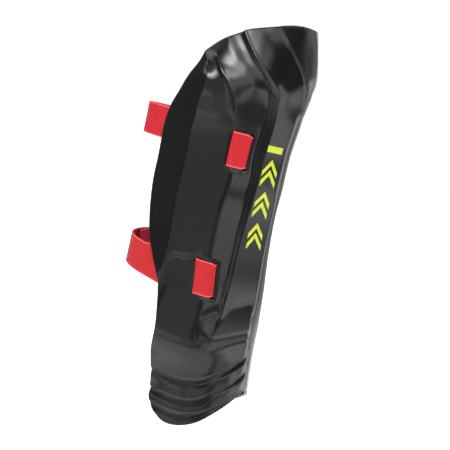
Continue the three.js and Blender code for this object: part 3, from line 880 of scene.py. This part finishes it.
def shell_lattice(side):
    """Girth and height of every shell grid point on one side, from the centre to the rear edge."""
    rows = row_heights(np.zeros(1)).shape[-1]
    columns = column_girths(np.full(1, START_HEIGHT)).shape[-1]
    r, c = np.mgrid[0:rows, 0:columns]
    height = np.full(r.shape, START_HEIGHT)
    girth = np.zeros(r.shape)
    for _ in range(PASSES):
        all_girths = column_girths(height)
        target = np.take_along_axis(all_girths, c[..., None], -1)[..., 0]
        girth = mix(girth, target, PACE)
        height = np.take_along_axis(row_heights(side * girth), r[..., None], -1)[..., 0]
    return side * girth, height


def edge_distance(girth, height):
    g = np.abs(girth)
    across = np.minimum(top_edge(g) - height, height - bottom_edge(girth))
    return np.maximum(np.minimum(across, rear_edge(height) - g), 0)


def shell_points(girth, height):
    """The outer and inner points of the shell, with its rim rounded."""
    rim = np.clip(EDGE_ROUND - edge_distance(girth, height), 0, EDGE_ROUND)
    pull = EDGE_ROUND - np.sqrt(EDGE_ROUND ** 2 - rim ** 2)
    height_over = relief(girth, height)
    outer = place(girth, height, height_over - pull)
    inner = place(girth, height, INNER_RELIEF * height_over - SHELL_THICKNESS + pull)
    return outer, inner


def near_line(distance, reach):
    """1 on a line, falling to 0 at the given reach."""
    return 1 - ease(0, reach, np.abs(distance))


def wear_and_highlight(girth, height):
    """From 0 to 1, where handling dulls the shell and its colour is painted lighter as a highlight: its rim,
    the creases and the step edges.
    """
    g = np.abs(girth)
    rim = 0.9 * (1 - ease(0.4, 3, edge_distance(girth, height)))
    creases = near_line(g - facet_edge(height), 1.6) * ease(318, 343, height)
    creases = np.maximum(creases, near_line(g - keel_edge(height), 1.4) * 0.6)
    edges = [near_line(height - line(g), 1.4) for line in (low_step, middle_step, high_step)]
    return np.maximum.reduce([rim, 0.6 * creases, *(0.6 * e for e in edges)])


SLOT_CLEARANCE = 0.5
WEB_THICKNESS = 1.8


def rounded_rectangle(low, high, radius, step=2.0):
    """Points round a rectangle with round corners, from its low and high corners."""
    low, high = np.array(low, float), np.array(high, float)
    centres = [(high[0], high[1]), (low[0], high[1]), (low[0], low[1]), (high[0], low[1])]
    inward = [(-radius, -radius), (radius, -radius), (radius, radius), (-radius, radius)]
    points = []
    for i, (centre, shift) in enumerate(zip(centres, inward)):
        for t in np.radians(90 * i + np.linspace(0, 90, 4)):
            points.append(np.add(centre, shift) + radius * np.array([math.cos(t), math.sin(t)]))
    filled = []
    for start, end in zip(points, points[1:] + points[:1]):
        count = max(1, int(np.linalg.norm(end - start) / step))
        filled += [mix(start, end, k / count) for k in range(count)]
    return np.array(filled)


def slot_cutter(strap, side, front):
    """A closed cutter with round corners for one slot, whose webbing starts at girth front."""
    half = strap["width"] / 2 + 1
    outline = rounded_rectangle(
        (front - SLOT_CLEARANCE, strap["height"] - half),
        (front + WEB_THICKNESS + SLOT_CLEARANCE, strap["height"] + half), 1.1)
    girth, height = outline.T
    levels = np.array([-9.0, 7.0])
    rings = place(side * girth[None, :], height[None, :], levels[:, None])
    count = len(outline)
    faces = grid_quads(2, count, wrap=True).tolist()
    faces += [list(range(count))[::-1], list(range(count, 2 * count))]
    return new_object("cutter", to_row(rings), faces, smooth=False)


def build_shell():
    sides = [shell_lattice(side) for side in SIDES.values()]
    girth, height = (np.concatenate([left[:, :0:-1], right], 1) for left, right in zip(*sides))
    shell = solid("shell_body", *shell_points(girth, height))
    # Wear and painted highlight along the rim, the creases and the step edges.
    worn_and_lit = wear_and_highlight(girth, height)
    set_value(shell, "wear_and_highlight", np.concatenate([worn_and_lit.ravel(), worn_and_lit.ravel()]))
    for strap in STRAPS.values():
        for side in SIDES.values():
            for start in (strap["front"], strap["back"] - WEB_THICKNESS):
                cut(shell, slot_cutter(strap, side, start))
    shell.data.shade_smooth()
    shell.data.set_sharp_from_angle(angle=math.radians(48))
    return finish_piece(shell, SHELL, "guard", "shell", "shell")


# ---------------------------------------------------------------- straps

WING_HINGE, TAB_HINGE, TAB_END, INNER_END, TAB_START = 12, 80, 30, 108, 100
LOOP_TAPE_ANGLES = (96, TAB_END - 8)
OUTER_LAYER = 4.8
INSIDE_LAYERS = (-4.5, -6.7)
SEWN_TAIL = 14
BRIDGE_OFFSET = 0.1
TAPE_THICKNESS = 1.0
LAYER_GAP = 0.3
GRIP = dict(length=9, thickness=2.0, width=25, ribs=5, points=46)
PATH_STEP, FINE_STEP = 0.7, 0.35
BEND_REACH = 4.5
LOOP_POINTS, RUN_POINTS, SEAM_POINTS = 60, 160, 80

# Distances from the middle of the webbing and its half thickness there, with a beaded selvedge.
WEB_HALF = 0.86
WEB_PROFILE = np.array([[0, WEB_HALF], [4, WEB_HALF], [8, WEB_HALF], [11.5, WEB_HALF], [13.6, WEB_HALF],
                        [14.4, 0.78], [15.0, 0.98], [15.5, 0.96], [15.85, 0.66], [16, 0.22]])


def loop_point(strap, angle, offset=0.0):
    """Plan points on a loop behind the calf, from 0 degrees at the +X wing to 180 at the -X wing."""
    t = np.radians(angle)
    outward = np.stack([np.cos(t) * strap["depth"], np.sin(t) * strap["half"]], -1)
    outward /= np.linalg.norm(outward, axis=-1, keepdims=True)
    centre = np.stack([strap["half"] * np.cos(t), strap["start"] + strap["depth"] * np.sin(t)], -1)
    return centre + outward * np.asarray(offset)[..., None]


def outer_offset(angle):
    return OUTER_LAYER * ease(15, 62, 180 - angle)


def loop_rows(strap, angles, offsets, across):
    """Rows of points along a stretch of the loop, one row for each distance across the webbing."""
    plan = loop_point(strap, angles, offsets)
    level = strap["height"] + strap["rise"]
    return np.stack([np.concatenate([plan, np.full((len(plan), 1), level + v)], 1) for v in across])


def anchor_rows(strap, side, across):
    """Rows of points along the webbing: from its sewn tail, round the bridge, inside to the rear edge."""
    half = WEB_THICKNESS / 2
    single, double = INSIDE_LAYERS
    front, back = strap["front"] + half, strap["back"] - half
    corners = [(strap["back"] + SEWN_TAIL, double), (front, double), (front, BRIDGE_OFFSET),
               (back, BRIDGE_OFFSET), (back, single)]
    rows = []
    for v in across:
        flat = np.concatenate([
            np.linspace(start, end, max(3, int(math.dist(start, end) / 0.4)))[:-1]
            for start, end in zip(corners, corners[1:])
        ])
        bridge = mix(0.88, 1, ease(front - 0.5, front + 3.4, flat[:, 0]))
        narrowing = np.where(flat[:, 1] > -0.6, bridge, 0.93)
        height = strap["height"] + v * np.where(flat[:, 0] < front + 3.4, narrowing, 1)
        u = np.linspace(0, 1, RUN_POINTS)
        run_height = strap["height"] + v + strap["rise"] * ease(0, 1, u)
        run_girth = mix(back, rear_edge(run_height) + 1.5, u)
        girth = np.concatenate([flat[:, 0], run_girth])
        level = np.concatenate([flat[:, 1], np.full(RUN_POINTS, single)])
        height = np.concatenate([height, run_height])
        hard = place(side * girth, height, level)
        soft = place(side * girth, height, level, SOFT_TABLES)
        rows.append(mix(soft, hard, ease(-4.2, -3.0, level)[:, None]))
    return np.stack(rows)


def resampled(rows, step=PATH_STEP, softness=1.0):
    """The rows with evenly spaced points and rounded corners, and the distance along them."""
    length = np.linalg.norm(np.diff(rows, axis=1), axis=-1).sum(1).mean()
    count = max(8, int(length / FINE_STEP))
    even = []
    for row in rows:
        run = run_along(row)
        even.append(sample(np.linspace(0, run[-1], count), run, row))
    even = np.array(even)
    reach = int(3 * softness / FINE_STEP)
    kernel = np.exp(-0.5 * (np.arange(-reach, reach + 1) * FINE_STEP / softness) ** 2)
    kernel /= kernel.sum()
    before = 2 * even[:, :1] - even[:, reach:0:-1]
    after = 2 * even[:, -1:] - even[:, -2:-reach - 2:-1]
    long = np.concatenate([before, even, after], 1)
    smooth = sum(w * long[:, k:k + count] for k, w in enumerate(kernel))
    picks = np.unique(np.linspace(0, count - 1, max(6, int(length / step))).round().astype(int))
    return smooth[:, picks], picks / (count - 1) * length


def ribbon(name, rows, across, half_thickness, along=None, ribs=1.0):
    """A closed band round rows of points: (across, along, 3), with its own half thickness across it.

    Ribs scale the thickness along it. Only a band with distances along it gets a UV map.
    """
    normal = np.cross(np.gradient(rows, axis=1), np.gradient(rows, axis=0))
    normal /= np.linalg.norm(normal, axis=-1, keepdims=True)
    lift = normal * half_thickness[:, None, None] * np.asarray(ribs)[..., None]
    band = solid(name, rows + lift, rows - lift)
    if along is not None:
        set_uv(band, along[None, :], across[:, None])
    return band


def web_profile():
    """Distances across the webbing from one edge to the other, and its half thickness at each."""
    distance, thickness = WEB_PROFILE.T
    return np.concatenate([-distance[:0:-1], distance]), np.concatenate([thickness[:0:-1], thickness])


def tape_profile(width, thickness):
    """The same for flat tape, whose edges thin out."""
    half = width / 2
    right = np.array([half * 0.2, half * 0.6, half - 0.6, half - 0.2, half])
    across = np.concatenate([-right[::-1], right])
    shape = np.array([0.25, 0.7, 1, 1, 1, 1, 1, 1, 0.7, 0.25])
    return across, shape * thickness / 2


def plan_to_row(strap, angle, offset=0.0):
    x, y = loop_point(strap, np.array(float(angle)), offset)
    return np.array(to_row((x, y, strap["height"] + strap["rise"])))


def bend_ends(strap, angle, offset, step):
    hinge = plan_to_row(strap, angle, offset)
    ahead = plan_to_row(strap, angle + step, offset) - hinge
    ahead *= BEND_REACH * MM / np.linalg.norm(ahead)
    return tuple(hinge - ahead), tuple(hinge + ahead)


def strap_half(name, strap, side, angles, offsets):
    """Continuous webbing from the sewn tail on one side of the shell to its free end behind the calf."""
    across, half_thickness = web_profile()
    loop = loop_rows(strap, angles, offsets, across)
    rows, along = resampled(np.concatenate([anchor_rows(strap, side, across), loop], 1))
    band = ribbon(name, rows, across, half_thickness, along)
    band.data.materials.append(WEBBING)
    return band


def build_straps():
    for key, strap in STRAPS.items():
        near = np.linspace(180 - WING_HINGE + 1.5, TAB_START, LOOP_POINTS)
        outer = strap_half(f"{key}_elastic_outer", strap, -1, near, outer_offset(near))
        start, end = bend_ends(strap, 180 - WING_HINGE, 0.0, -1)
        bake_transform(outer)
        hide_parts(f"{key}_strap_anchor_left", f"{key}_strap_outer")
        far = np.linspace(WING_HINGE - 1.5, INNER_END, LOOP_POINTS)
        inner = strap_half(f"{key}_elastic_inner", strap, 1, far, 0.0)
        start, end = bend_ends(strap, WING_HINGE, 0.0, 1)
        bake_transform(inner)
        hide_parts(f"{key}_strap_anchor_right", f"{key}_strap_inner")
        build_tab(key, strap)
        build_tapes(key, strap)
        build_stitching(key, strap)


def loop_band(name, strap, start, end, offset, profile, count=LOOP_POINTS):
    """A band along a stretch of the loop, at one offset, with the given section."""
    across, half_thickness = profile
    rows, along = resampled(loop_rows(strap, np.linspace(start, end, count), offset, across))
    return ribbon(name, rows, across, half_thickness, along)


def build_tab(key, strap):
    tab = loop_band(f"{key}_tab_webbing", strap, TAB_START, TAB_END, OUTER_LAYER, web_profile())
    tab.data.materials.append(WEBBING)
    start, end = bend_ends(strap, TAB_HINGE, OUTER_LAYER, -1)
    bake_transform(tab)
    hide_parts(f"{key}_strap_tab")


def angle_of(strap, length):
    return math.degrees(length / ((strap["half"] + strap["depth"]) / 2))


def build_tapes(key, strap):
    tape_offset = WEB_THICKNESS / 2 + LAYER_GAP + TAPE_THICKNESS / 2
    spans = {
        "loop_tape": (*LOOP_TAPE_ANGLES, tape_offset, f"{key}_inner"),
        "hook_tape": (TAB_HINGE - 6, TAB_END, OUTER_LAYER - tape_offset, f"{key}_tab"),
    }
    for kind, (start, end, offset, body) in spans.items():
        profile = tape_profile(strap["width"] - 3, TAPE_THICKNESS)
        tape = loop_band(f"{key}_{kind}", strap, start, end, offset, profile)
        finish_piece(tape, TAPE, body, "hook_and_loop", f"{key}_strap_{kind}")
    first = TAB_END - angle_of(strap, LAYER_GAP)
    count = GRIP["points"]
    angles = np.linspace(first, first - angle_of(strap, GRIP["length"]), count)
    across, half_thickness = tape_profile(GRIP["width"], GRIP["thickness"])
    rows = loop_rows(strap, angles, OUTER_LAYER, across)
    share = np.linspace(-1, 1, count)
    ribs = 1 + 0.28 * np.cos(np.linspace(0, GRIP["ribs"] * math.tau, count)) * (share ** 2 < 0.94)
    ends = np.sqrt(np.clip(1 - share ** 12, 0.05, 1))
    grip = ribbon(f"{key}_pull_grip", rows, across, half_thickness, ribs=ribs * ends)
    finish_piece(grip, RUBBER, f"{key}_tab", "grip_rubber", f"{key}_strap_grip")


STITCH = dict(length=2.5, pitch=3.2, radius=0.26, sides=6, rise=0.16)
# Where the rings of one stitch lie, as shares of its half length, and how thick it is there.
STITCH_RINGS = np.array([-1, -0.8, -0.35, 0.35, 0.8, 1])
STITCH_GIRTHS = np.array([0.25, 0.75, 1, 1, 0.75, 0.25])


def stitches(name, lines, body, material, slot):
    """Short raised threads along lines of points, each line with its outward normals."""
    points, faces = [], []
    sides, count = STITCH["sides"], len(STITCH_RINGS)
    around = np.linspace(0, math.tau, sides, endpoint=False)[None, :, None]
    for line, normals in lines:
        run = run_along(line)
        for centre in np.arange(STITCH["pitch"] / 2, run[-1], STITCH["pitch"]):
            at = centre + STITCH_RINGS * STITCH["length"] / 2
            spine, up = sample(at, run, line), sample(at, run, normals)
            along = spine[-1] - spine[0]
            across = np.cross(along / np.linalg.norm(along), up)
            rise = (1 - STITCH_RINGS ** 2)[:, None] * STITCH["rise"] * up
            ring = np.cos(around) * across[:, None] + np.sin(around) * up[:, None]
            solid = (spine + rise)[:, None] + ring * (STITCH_GIRTHS * STITCH["radius"])[:, None, None]
            start = len(points) * count * sides
            last = start + (count - 1) * sides
            points.append(solid.reshape(-1, 3))
            faces += (grid_quads(count, sides, wrap=True) + start).tolist()
            faces += [list(range(start, start + sides))[::-1], list(range(last, last + sides))]
    thread = new_object(name, to_row(np.concatenate(points)), faces)
    return finish_piece(thread, material, body, slot)


def loop_line(strap, start, end, v, offset):
    """A sewn line along the loop at a distance across it, with its outward normals."""
    angles = np.linspace(start, end, SEAM_POINTS)
    plan = loop_point(strap, angles, offset)
    out = plan - loop_point(strap, angles, offset - 1)
    level = strap["height"] + strap["rise"] + np.broadcast_to(v, SEAM_POINTS)
    return np.concatenate([plan, level[:, None]], 1), np.concatenate([out, np.zeros((SEAM_POINTS, 1))], 1)


# The sewn box on the tab, with a cross in its upper part: loop angles, and half its width in mm.
BOX = dict(start=72, cross_end=50, end=32, half=12.2)
SEAM_ANGLES, SEAM_HALF = (103, 97), 14
LOOP_SEAM_HALF, LOOP_SEAM_LEVEL = 12.8, 2.22


def cross_line(strap, angle, half, offset):
    """A sewn line straight across the webbing at one angle of the loop."""
    return loop_line(strap, angle, angle - 0.01, np.linspace(-half, half, SEAM_POINTS), offset)


def build_stitching(key, strap):
    face = OUTER_LAYER + WEB_HALF
    half = BOX["half"]
    box = [loop_line(strap, BOX["start"], BOX["end"], v, face) for v in (-half, half)]
    box += [cross_line(strap, angle, half, face) for angle in (BOX["start"], BOX["end"])]
    for v in (-half, half):
        diagonal = np.linspace(v, -v, SEAM_POINTS)
        box.append(loop_line(strap, BOX["start"], BOX["cross_end"], diagonal, face))
    box.append(cross_line(strap, BOX["cross_end"], half, face))
    stitches(f"{key}_tab_stitching", box, f"{key}_tab", RED_THREAD, "strap_webbing")
    seam = [cross_line(strap, angle, SEAM_HALF, face + 0.55) for angle in SEAM_ANGLES]
    stitches(f"{key}_seam_stitching", seam, f"{key}_outer", RED_THREAD, "strap_webbing")
    profile = tape_profile(strap["width"] - 0.6, 0.7)
    cover = loop_band(f"{key}_seam_cover", strap, TAB_START + 6, TAB_START - 6, face + 0.3, profile, 24)
    finish_piece(cover, WEBBING, f"{key}_outer", "strap_webbing")
    loop_seams = [loop_line(strap, *LOOP_TAPE_ANGLES, v, LOOP_SEAM_LEVEL)
                  for v in (-LOOP_SEAM_HALF, LOOP_SEAM_HALF)]
    stitches(f"{key}_loop_stitching", loop_seams, f"{key}_inner", BLACK_THREAD, "hook_and_loop")


# ---------------------------------------------------------------- liner

LINER_FACES = (-9.0, -13.0)
LINER_INSET = 12
LINER_CORNER = 16
LINER_PASSES = 18
QUILT = dict(pitch=24, start=30, rows=0.9, outline=1.0, margin=4)


def liner_lattice(rows=150, columns=131):
    """Girth and height over the liner, whose corners are round."""
    v, u = np.meshgrid(clustered(rows - 1, 0.4), 2 * clustered(columns - 1, 0.4) - 1, indexing="ij")
    height = np.full(v.shape, START_HEIGHT)
    girth = np.zeros(v.shape)
    for _ in range(LINER_PASSES):
        low, high = bottom_edge(girth) + LINER_INSET, top_edge(np.abs(girth)) - LINER_INSET
        height = mix(low, high, v)
        inside = np.clip(np.minimum(height - low, high - height), 0, LINER_CORNER)
        corner = LINER_CORNER - np.sqrt(LINER_CORNER ** 2 - (LINER_CORNER - inside) ** 2)
        girth = mix(girth, u * (rear_edge(height) - LINER_INSET - corner), PACE)
    return girth, height


def border(grid):
    """Values round the border of a grid, once round."""
    return np.concatenate([grid[0, :-1], grid[:-1, -1], grid[-1, :0:-1], grid[:0:-1, 0]])


PADS = {
    "knee_pad": ((-46, 46), (322, 368)),
    "ankle_pad": ((-42, 42), (82, 110)),
    "shin_pad_left": ((-40, -9), (122, 308)),
    "shin_pad_right": ((9, 40), (122, 308)),
}


def beyond_pad(girth, height, margin):
    """Distance outside the nearest pad's outline grown by a margin, negative inside it."""
    distances = []
    for (g0, g1), (h0, h1) in PADS.values():
        dx = np.maximum(g0 - margin - girth, girth - g1 - margin)
        dy = np.maximum(h0 - margin - height, height - h1 - margin)
        outside = np.hypot(np.maximum(dx, 0), np.maximum(dy, 0))
        distances.append(outside + np.minimum(np.maximum(dx, dy), 0))
    return np.minimum.reduce(distances)


def quilting(girth, height):
    """Depth of the sewn channels in the liner: rows up the calf sides and a line round each pad."""
    beyond = beyond_pad(girth, height, QUILT["margin"])
    row = np.abs((height - QUILT["start"]) / QUILT["pitch"] % 1 - 0.5) * QUILT["pitch"]
    rows = QUILT["rows"] * (1 - ease(0, 4.5, row)) * ease(3, 9, beyond)
    return rows + QUILT["outline"] * (1 - ease(0, 2.6, np.abs(beyond)))


def build_liner():
    girth, height = liner_lattice()
    outer_level, inner_level = LINER_FACES
    outer = place(girth, height, outer_level, SOFT_TABLES)
    inner = place(girth, height, inner_level + quilting(girth, height), SOFT_TABLES)
    liner = solid("liner_foam_sheet", outer, inner)
    set_uv(liner, girth, height)
    finish_piece(liner, LINER, "guard", "liner_foam", "liner")
    build_liner_binding(border(girth), border(height))


def closed_path(girth, height, spacing=1.6):
    """A closed path of (girth, height), evenly spaced and slightly smoothed, and its inward directions."""
    path = np.stack([girth, height], -1)
    path = np.concatenate([path, path[:1]])
    run = run_along(path)
    at = np.linspace(0, run[-1], int(run[-1] / spacing), endpoint=False)
    even = sample(at, run, path)
    for _ in range(4):
        even = (np.roll(even, 1, 0) + 2 * even + np.roll(even, -1, 0)) / 4
    ahead = np.roll(even, -1, 0) - np.roll(even, 1, 0)
    ahead /= np.linalg.norm(ahead, axis=-1, keepdims=True)
    inward = np.stack([-ahead[:, 1], ahead[:, 0]], -1)
    if np.sum((even.mean(0) - even) * inward) < 0:
        inward = -inward
    return even, inward, at


# The binding's section as distance in from the liner's edge and offset: round its outside, then back inside.
BINDING_SECTION = np.array([
    [6, -8.45], [1, -8.4], [-0.5, -8.9], [-0.95, -11], [-0.5, -13.1], [1, -13.6], [6, -13.55],
    [6, -13.1], [1, -13.1], [-0.1, -12.7], [-0.35, -11], [-0.1, -9.3], [1, -8.9], [6, -8.9]])


def sweep(name, path, inward, section, material, along, slot):
    """A closed sweep of a section of (distance in, offset) round a path of girth and height."""
    spots = path[:, None] + inward[:, None] * section[None, :, :1]
    points = place(spots[..., 0], spots[..., 1], section[None, :, 1], SOFT_TABLES)
    count, size = points.shape[:2]
    ids = np.arange(count * size).reshape(count, size)
    after = np.roll(ids, -1, 0)
    faces = np.stack([ids, np.roll(ids, -1, 1), np.roll(after, -1, 1), after], -1).reshape(-1, 4)
    swept = new_object(name, to_row(points), faces)
    around = np.linspace(0, 16, size)
    set_uv(swept, along[:, None], around[None, :])
    return finish_piece(swept, material, "guard", slot)


def build_liner_binding(girth, height):
    path, inward, along = closed_path(girth, height)
    sweep("liner_edge_binding", path, inward, BINDING_SECTION, BINDING, along, "liner_foam")
    lines = []
    for level, lift in ((-13.62, -1), (-8.4, 1)):
        spots = path + inward * 4.2
        line = place(spots[:, 0], spots[:, 1], level, SOFT_TABLES)
        beyond = place(spots[:, 0], spots[:, 1], level + lift, SOFT_TABLES)
        lines.append((line, beyond - line))
    stitches("liner_binding_stitching", lines, "guard", BLACK_THREAD, "liner_foam")


# ---------------------------------------------------------------- pads and patches

PAD_BASE = -14.1
PAD_CROWN = 5.6
PAD_CORNER = 9
PAD_EDGE = 0.45
PAD_SPACING = 2.6
SWELL_LIMIT = 1.6 * MM
SWELL_FRAMES = 18
WELT_RADIUS = 0.85


def rounded_lattice(girth, height, corner, spacing):
    """Girth and height over a rectangle with round corners, and the distance in from its edge."""
    (g0, g1), (h0, h1) = girth, height
    columns = max(9, int((g1 - g0) / spacing))
    rows = max(9, int((h1 - h0) / spacing))
    v, u = np.meshgrid(clustered(rows, 0.5), 2 * clustered(columns, 0.5) - 1, indexing="ij")
    h = mix(h0, h1, v)
    inside = np.clip(np.minimum(h - h0, h1 - h), 0, corner)
    half = (g1 - g0) / 2 - (corner - np.sqrt(corner ** 2 - (corner - inside) ** 2))
    g = (g0 + g1) / 2 + u * half
    edge = np.minimum(half - np.abs(u * half), np.minimum(h - h0, h1 - h))
    return g, h, edge


def inflate(obj, pinned):
    """Swells a closed fabric cover by cloth simulation, its glued side pinned and its swelling capped."""
    before = np.array([v.co for v in obj.data.vertices])
    group = obj.vertex_groups.new(name="glued")
    group.add([int(i) for i in np.nonzero(pinned)[0]], 1.0, "REPLACE")
    cloth = obj.modifiers.new("cover", "CLOTH")
    settings = cloth.settings
    settings.quality = 5
    settings.mass = 0.2
    settings.tension_stiffness = 12
    settings.compression_stiffness = 8
    settings.shear_stiffness = 4
    settings.bending_stiffness = 0.4
    settings.use_pressure = True
    settings.uniform_pressure_force = 4
    settings.vertex_group_mass = "glued"
    settings.effector_weights.gravity = 0
    cloth.collision_settings.use_collision = False
    scene = bpy.context.scene
    for number in range(1, SWELL_FRAMES + 1):
        scene.frame_set(number)
    graph = bpy.context.evaluated_depsgraph_get()
    swollen = np.array([v.co for v in obj.evaluated_get(graph).data.vertices])
    obj.modifiers.clear()
    scene.frame_set(1)
    move = swollen - before
    length = np.linalg.norm(move, axis=-1, keepdims=True)
    move *= np.minimum(1, SWELL_LIMIT / np.maximum(length, 1e-9))
    obj.data.vertices.foreach_set("co", (before + move).astype(np.float32).ravel())
    obj.data.update()


def build_pad(name, girth, height):
    g, h, edge = rounded_lattice(girth, height, PAD_CORNER, PAD_SPACING)
    crown = PAD_CROWN * np.sqrt(np.clip(1 - (1 - np.clip(edge / PAD_CORNER, 0, 1)) ** 2, 0, 1))
    base = place(g, h, PAD_BASE, SOFT_TABLES)
    cover = place(g, h, PAD_BASE - PAD_EDGE - crown, SOFT_TABLES)
    pad = solid(f"{name}_cushion", base, cover)
    inflate(pad, np.arange(len(pad.data.vertices)) < g.size)
    smooth = pad.modifiers.new("smooth", "SUBSURF")
    smooth.levels = smooth.render_levels = 1
    finish_piece(pad, PAD, "guard", "pad_cover", name)
    path, inward, along = closed_path(border(g), border(h))
    t = np.linspace(0, math.tau, 8, endpoint=False)
    welt = np.stack([0.2 + WELT_RADIUS * np.cos(t), PAD_BASE - 0.7 + WELT_RADIUS * np.sin(t)], -1)
    sweep(f"{name}_welt", path, inward, welt, BINDING, along, "pad_cover")


FASTENERS = [(16, 120), (15, 220), (72, 218), (14, 340), (78, 80)]
FASTENER_SIZE = (16, 26)
FASTENER_THICKNESS = 1.9
FASTENER_FACES = {"shell_hook": -3.6, "liner_loop": -6.1}


def build_patch(name, girth, height, face):
    wide, tall = FASTENER_SIZE
    spans = ((girth - wide / 2, girth + wide / 2), (height - tall / 2, height + tall / 2))
    g, h, edge = rounded_lattice(*spans, 2.5, 1.3)
    rim = 0.45 * (1 - ease(0, 0.8, edge))
    outer = place(g, h, face - rim, SOFT_TABLES)
    inner = place(g, h, face - FASTENER_THICKNESS + rim, SOFT_TABLES)
    patch = solid(f"{name}_pile", outer, inner)
    finish_piece(patch, TAPE, "guard", "hook_and_loop", name)


# ---------------------------------------------------------------- printed graphic

PRINT_LIFT = (0.10, -0.15)
CHEVRON = dict(left=9.5, right=25, rise=11, thick=5.2)
CHEVRON_HEIGHTS = (191, 200.5, 221, 230.5, 251, 260.5)
BAR_HEIGHT, BAR_THICKNESS = 283, 6


def print_strip(side, path, thick):
    """Grids of one printed bar that follows a path of girth and height and is thick along the height."""
    spots = np.array(path, float)
    run = run_along(spots)
    g, h = sample(np.linspace(0, run[-1], 29), run, spots).T
    h = h[None, :] + np.linspace(0, thick, 9)[:, None]
    g = np.broadcast_to(g[None, :], h.shape)
    level = relief(g, h)
    return [place(side * g, h, level + lift) for lift in PRINT_LIFT]


def build_graphic():
    c = CHEVRON
    middle = (c["left"] + c["right"]) / 2
    for side_name, side in SIDES.items():
        bars = [([(c["left"], h), (middle, h + c["rise"]), (c["right"], h)], c["thick"])
                for h in CHEVRON_HEIGHTS]
        bars.append(([(c["left"], BAR_HEIGHT), (c["right"], BAR_HEIGHT)], BAR_THICKNESS))
        points, faces, start = [], [], 0
        for path, thick in bars:
            top, under = print_strip(side, path, thick)
            bar_points, bar_faces = between(top, under)
            points.append(bar_points)
            faces.append(bar_faces + start)
            start += len(bar_points)
        points = to_row(np.concatenate(points))
        graphic = new_object(f"facet_chevrons_{side_name}", points, np.concatenate(faces))
        finish_piece(graphic, PRINT, "guard", "graphic_print")


build_shell()
build_liner()
for pad_name, (pad_girth, pad_height) in PADS.items():
    build_pad(pad_name, pad_girth, pad_height)
for number, (patch_girth, patch_height) in enumerate(FASTENERS, 1):
    for side_name, side in SIDES.items():
        for kind, face in FASTENER_FACES.items():
            build_patch(f"{kind}_{number}_{side_name}", side * patch_girth, patch_height, face)
build_straps()
build_graphic()
